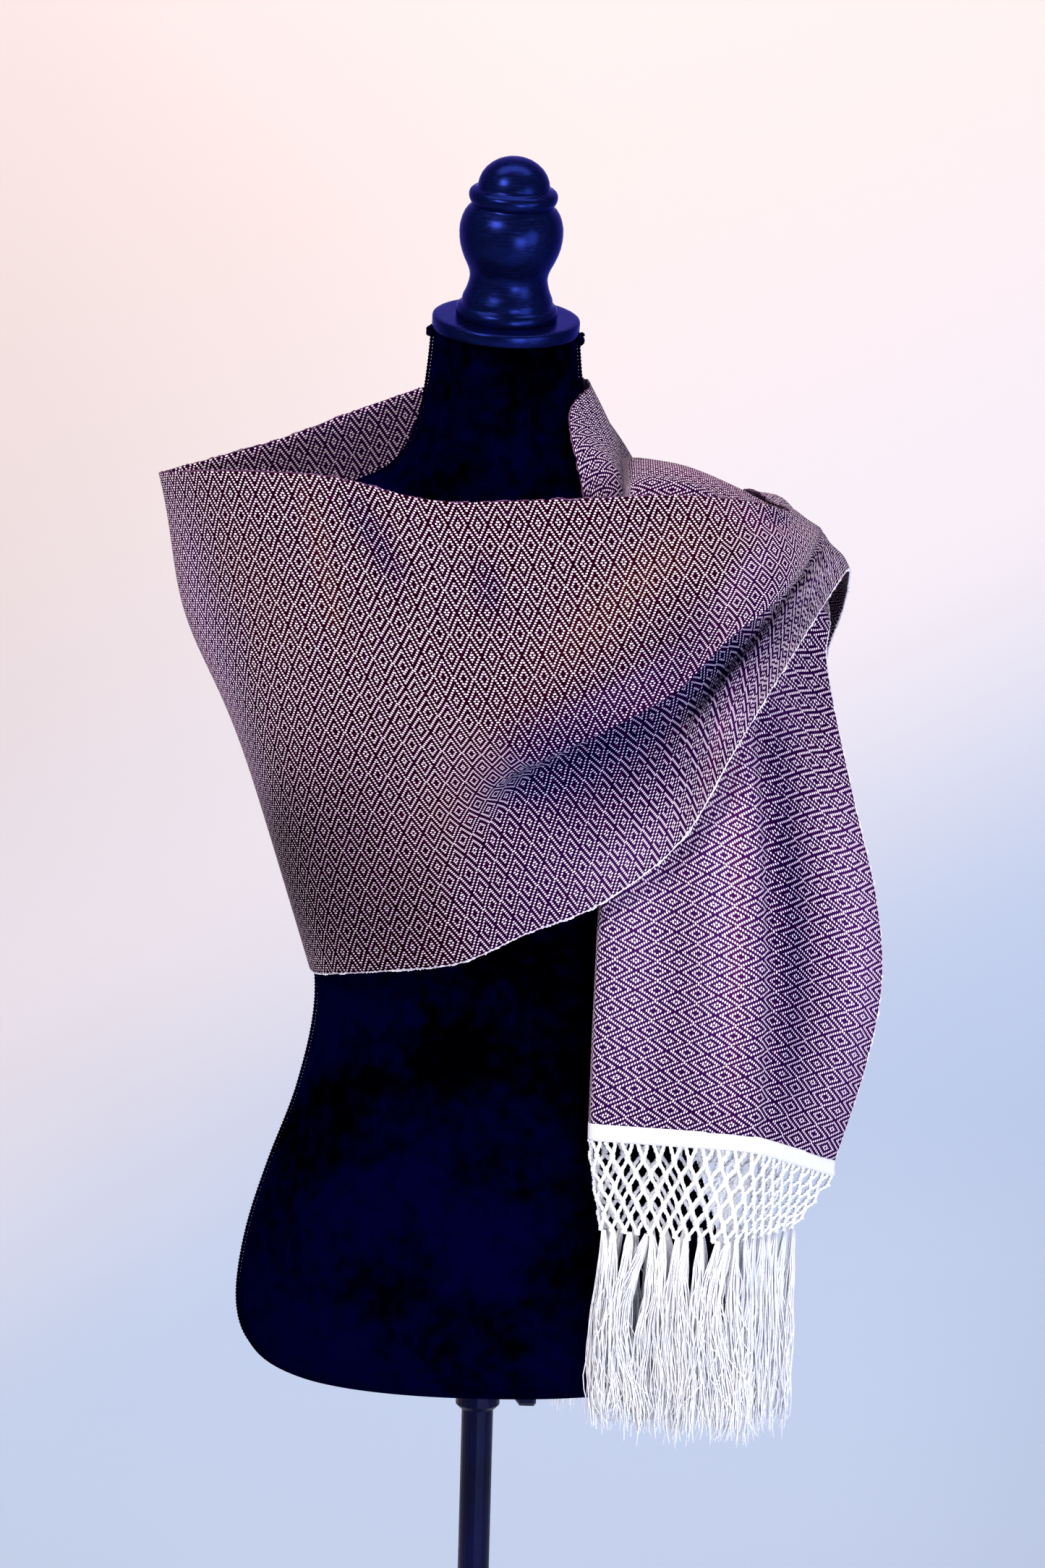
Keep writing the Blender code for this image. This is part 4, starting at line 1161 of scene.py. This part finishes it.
# Turned wood: cap and finial on the leaning neck
turnedWood = {
    "steps": 96,
    "fit": 0.0003,
    "capThick": 0.01,
}
capOutline = (
    (0.0, 0.053), (0.0006, 0.0541), (0.0016, 0.0545), (0.008, 0.0545),
    (0.0092, 0.0542), (0.0099, 0.0532), (0.01, 0.05), (0.01, 0.04),
)
finialOutline = (
    (0.0, 0.037), (0.0015, 0.0374), (0.004, 0.0375), (0.007, 0.037), (0.0085, 0.0358),
    (0.0092, 0.0338), (0.01, 0.0334), (0.0125, 0.0334), (0.015, 0.0328), (0.0185, 0.0312),
    (0.022, 0.03), (0.026, 0.029), (0.03, 0.0286), (0.034, 0.0294), (0.038, 0.031),
    (0.043, 0.0335), (0.048, 0.0355), (0.053, 0.037), (0.058, 0.0378), (0.063, 0.0381),
    (0.068, 0.0378), (0.073, 0.0366), (0.077, 0.035), (0.0805, 0.0327), (0.0826, 0.0304),
    (0.0836, 0.03), (0.085, 0.0308), (0.087, 0.0319), (0.0892, 0.0325), (0.0915, 0.0325),
    (0.0935, 0.0317), (0.095, 0.03), (0.0958, 0.0272), (0.0966, 0.0264), (0.0985, 0.0262),
    (0.102, 0.0255), (0.1062, 0.0237), (0.11, 0.021), (0.1134, 0.0172), (0.116, 0.013),
    (0.1178, 0.0082), (0.1185, 0.003),
)


def makeTurned(name, cadName, outline, low):
    angles = 2.0 * np.pi * np.arange(turnedWood["steps"]) / turnedWood["steps"]
    circle = np.stack((np.cos(angles), np.sin(angles), np.zeros(angles.shape)), axis=1)
    rings = [circle * radius + np.array([0.0, 0.0, low + height]) for height, radius in outline]
    rings = [rings[0] * np.array([0.5, 0.5, 1.0]), *rings, rings[-1] * np.array([0.3, 0.3, 1.0])]
    points, faces = closedRings(rings)
    pivot = Vector((0.0, 0.0, form["neckTop"]))
    turn = Matrix.Rotation(form["leanRight"], 3, "Y") @ Matrix.Rotation(form["leanFront"], 3, "X")
    points = (points - np.array(pivot)) @ np.array(turn).T + np.array(pivot)
    obj = addMesh(name, points, faces, materials["lacquer"])
    obj.data.set_sharp_from_angle(angle=math.radians(50.0))
    settle(obj, "navy_lacquer", cadName)


makeTurned("lacquered_cap", "neck_cap", capOutline, form["neckTop"] + turnedWood["fit"])
makeTurned(
    "lacquered_finial", "finial", finialOutline,
    form["neckTop"] + turnedWood["capThick"] + 2.0 * turnedWood["fit"],
)

# Carried-over metal parts of the stand
for name in ("pole", "base_socket", "base_plate", "clamp_collar", "clamp_boss", "clamp_knob"):
    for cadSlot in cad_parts[name].material_slots:
        cadSlot.material = materials["metal"]
print("wood and metal made")


# Stage: a pale floor that runs up into a pale wall
stage = {"half": 6.0, "front": -6.0, "wall": 1.9, "bend": 0.6, "high": 5.0, "slant": 0.5,
         "low": (0.47, 0.55, 0.68), "middle": (0.77, 0.71, 0.71), "top": (0.79, 0.68, 0.63)}


def makeStage():
    foot, bend = stage["wall"] - stage["bend"], stage["bend"]
    turn = [math.pi / 2.0 * k / 12.0 for k in range(1, 13)]
    profile = [(stage["front"], 0.0), (foot, 0.0)]
    profile += [(foot + bend * math.sin(a), bend - bend * math.cos(a)) for a in turn]
    profile.append((stage["wall"], stage["high"]))
    points = [(x, y, z - 0.0005) for x in (-stage["half"], stage["half"]) for y, z in profile]
    count = len(profile)
    faces = [(i, i + count, i + count + 1, i + 1) for i in range(count - 1)]
    f = Finish("pale_wall")
    side, _, height = f.node("SeparateXYZ", None, {0: f.coords})
    # Painted light falloff: the wall is warm and bright high up, darker and bluer low down and towards the
    # right
    tint = f.calc("SUBTRACT", height, f.calc("MULTIPLY", side, stage["slant"]))
    colour = f.mix(f.ramp(tint, 0.45, 1.05), stage["low"], stage["middle"])
    colour = f.mix(f.ramp(tint, 1.05, 1.75), colour, stage["top"])
    f.done(colour, {"Roughness": 0.95})
    # The wall is clear from behind, so that the back can be seen
    behind = f.node("NewGeometry", "Backfacing")
    seen = f.node("MixShader", 0, {0: behind, 1: f.shader.outputs[0], 2: f.node("BsdfTransparent", 0)})
    f.plug(seen, f.tree.nodes["Material Output"].inputs["Surface"])
    addMesh("floor_and_wall", points, faces, f.material)


makeStage()


# Light: a soft warm key from the upper left, a cool fill from the right
def addLight(name, place, aim, size, power, colour):
    data = bpy.data.lights.new(name, "AREA")
    data.shape = "RECTANGLE"
    data.size, data.size_y = size
    data.energy = power
    data.color = colour
    light = bpy.data.objects.new(name, data)
    light.location = place
    light.rotation_euler = (Vector(aim) - Vector(place)).to_track_quat("-Z", "Y").to_euler()
    bpy.context.scene.collection.objects.link(light)


addLight("key", (-1.5, -2.2, 2.9), (0.05, 0.0, 1.2), (0.9, 0.9), 74.0, (1.0, 0.93, 0.9))
addLight("fill", (2.2, -2.0, 1.1), (0.12, 0.0, 1.0), (1.2, 1.6), 34.0, (0.8, 0.84, 1.0))
addLight("low_fill", (0.9, -2.2, 0.8), (0.15, 0.0, 0.95), (0.8, 0.8), 30.0, (0.92, 0.93, 1.0))
addLight("wall_glow", (0.0, -0.2, 3.8), (0.0, 1.9, 1.3), (3.0, 1.0), 60.0, (1.0, 0.93, 0.92))

world = bpy.data.worlds.new("studio")
bpy.context.scene.world = world
world.use_nodes = True
world.node_tree.nodes["Background"].inputs["Color"].default_value = (0.86, 0.88, 1.0, 1.0)
world.node_tree.nodes["Background"].inputs["Strength"].default_value = 0.34
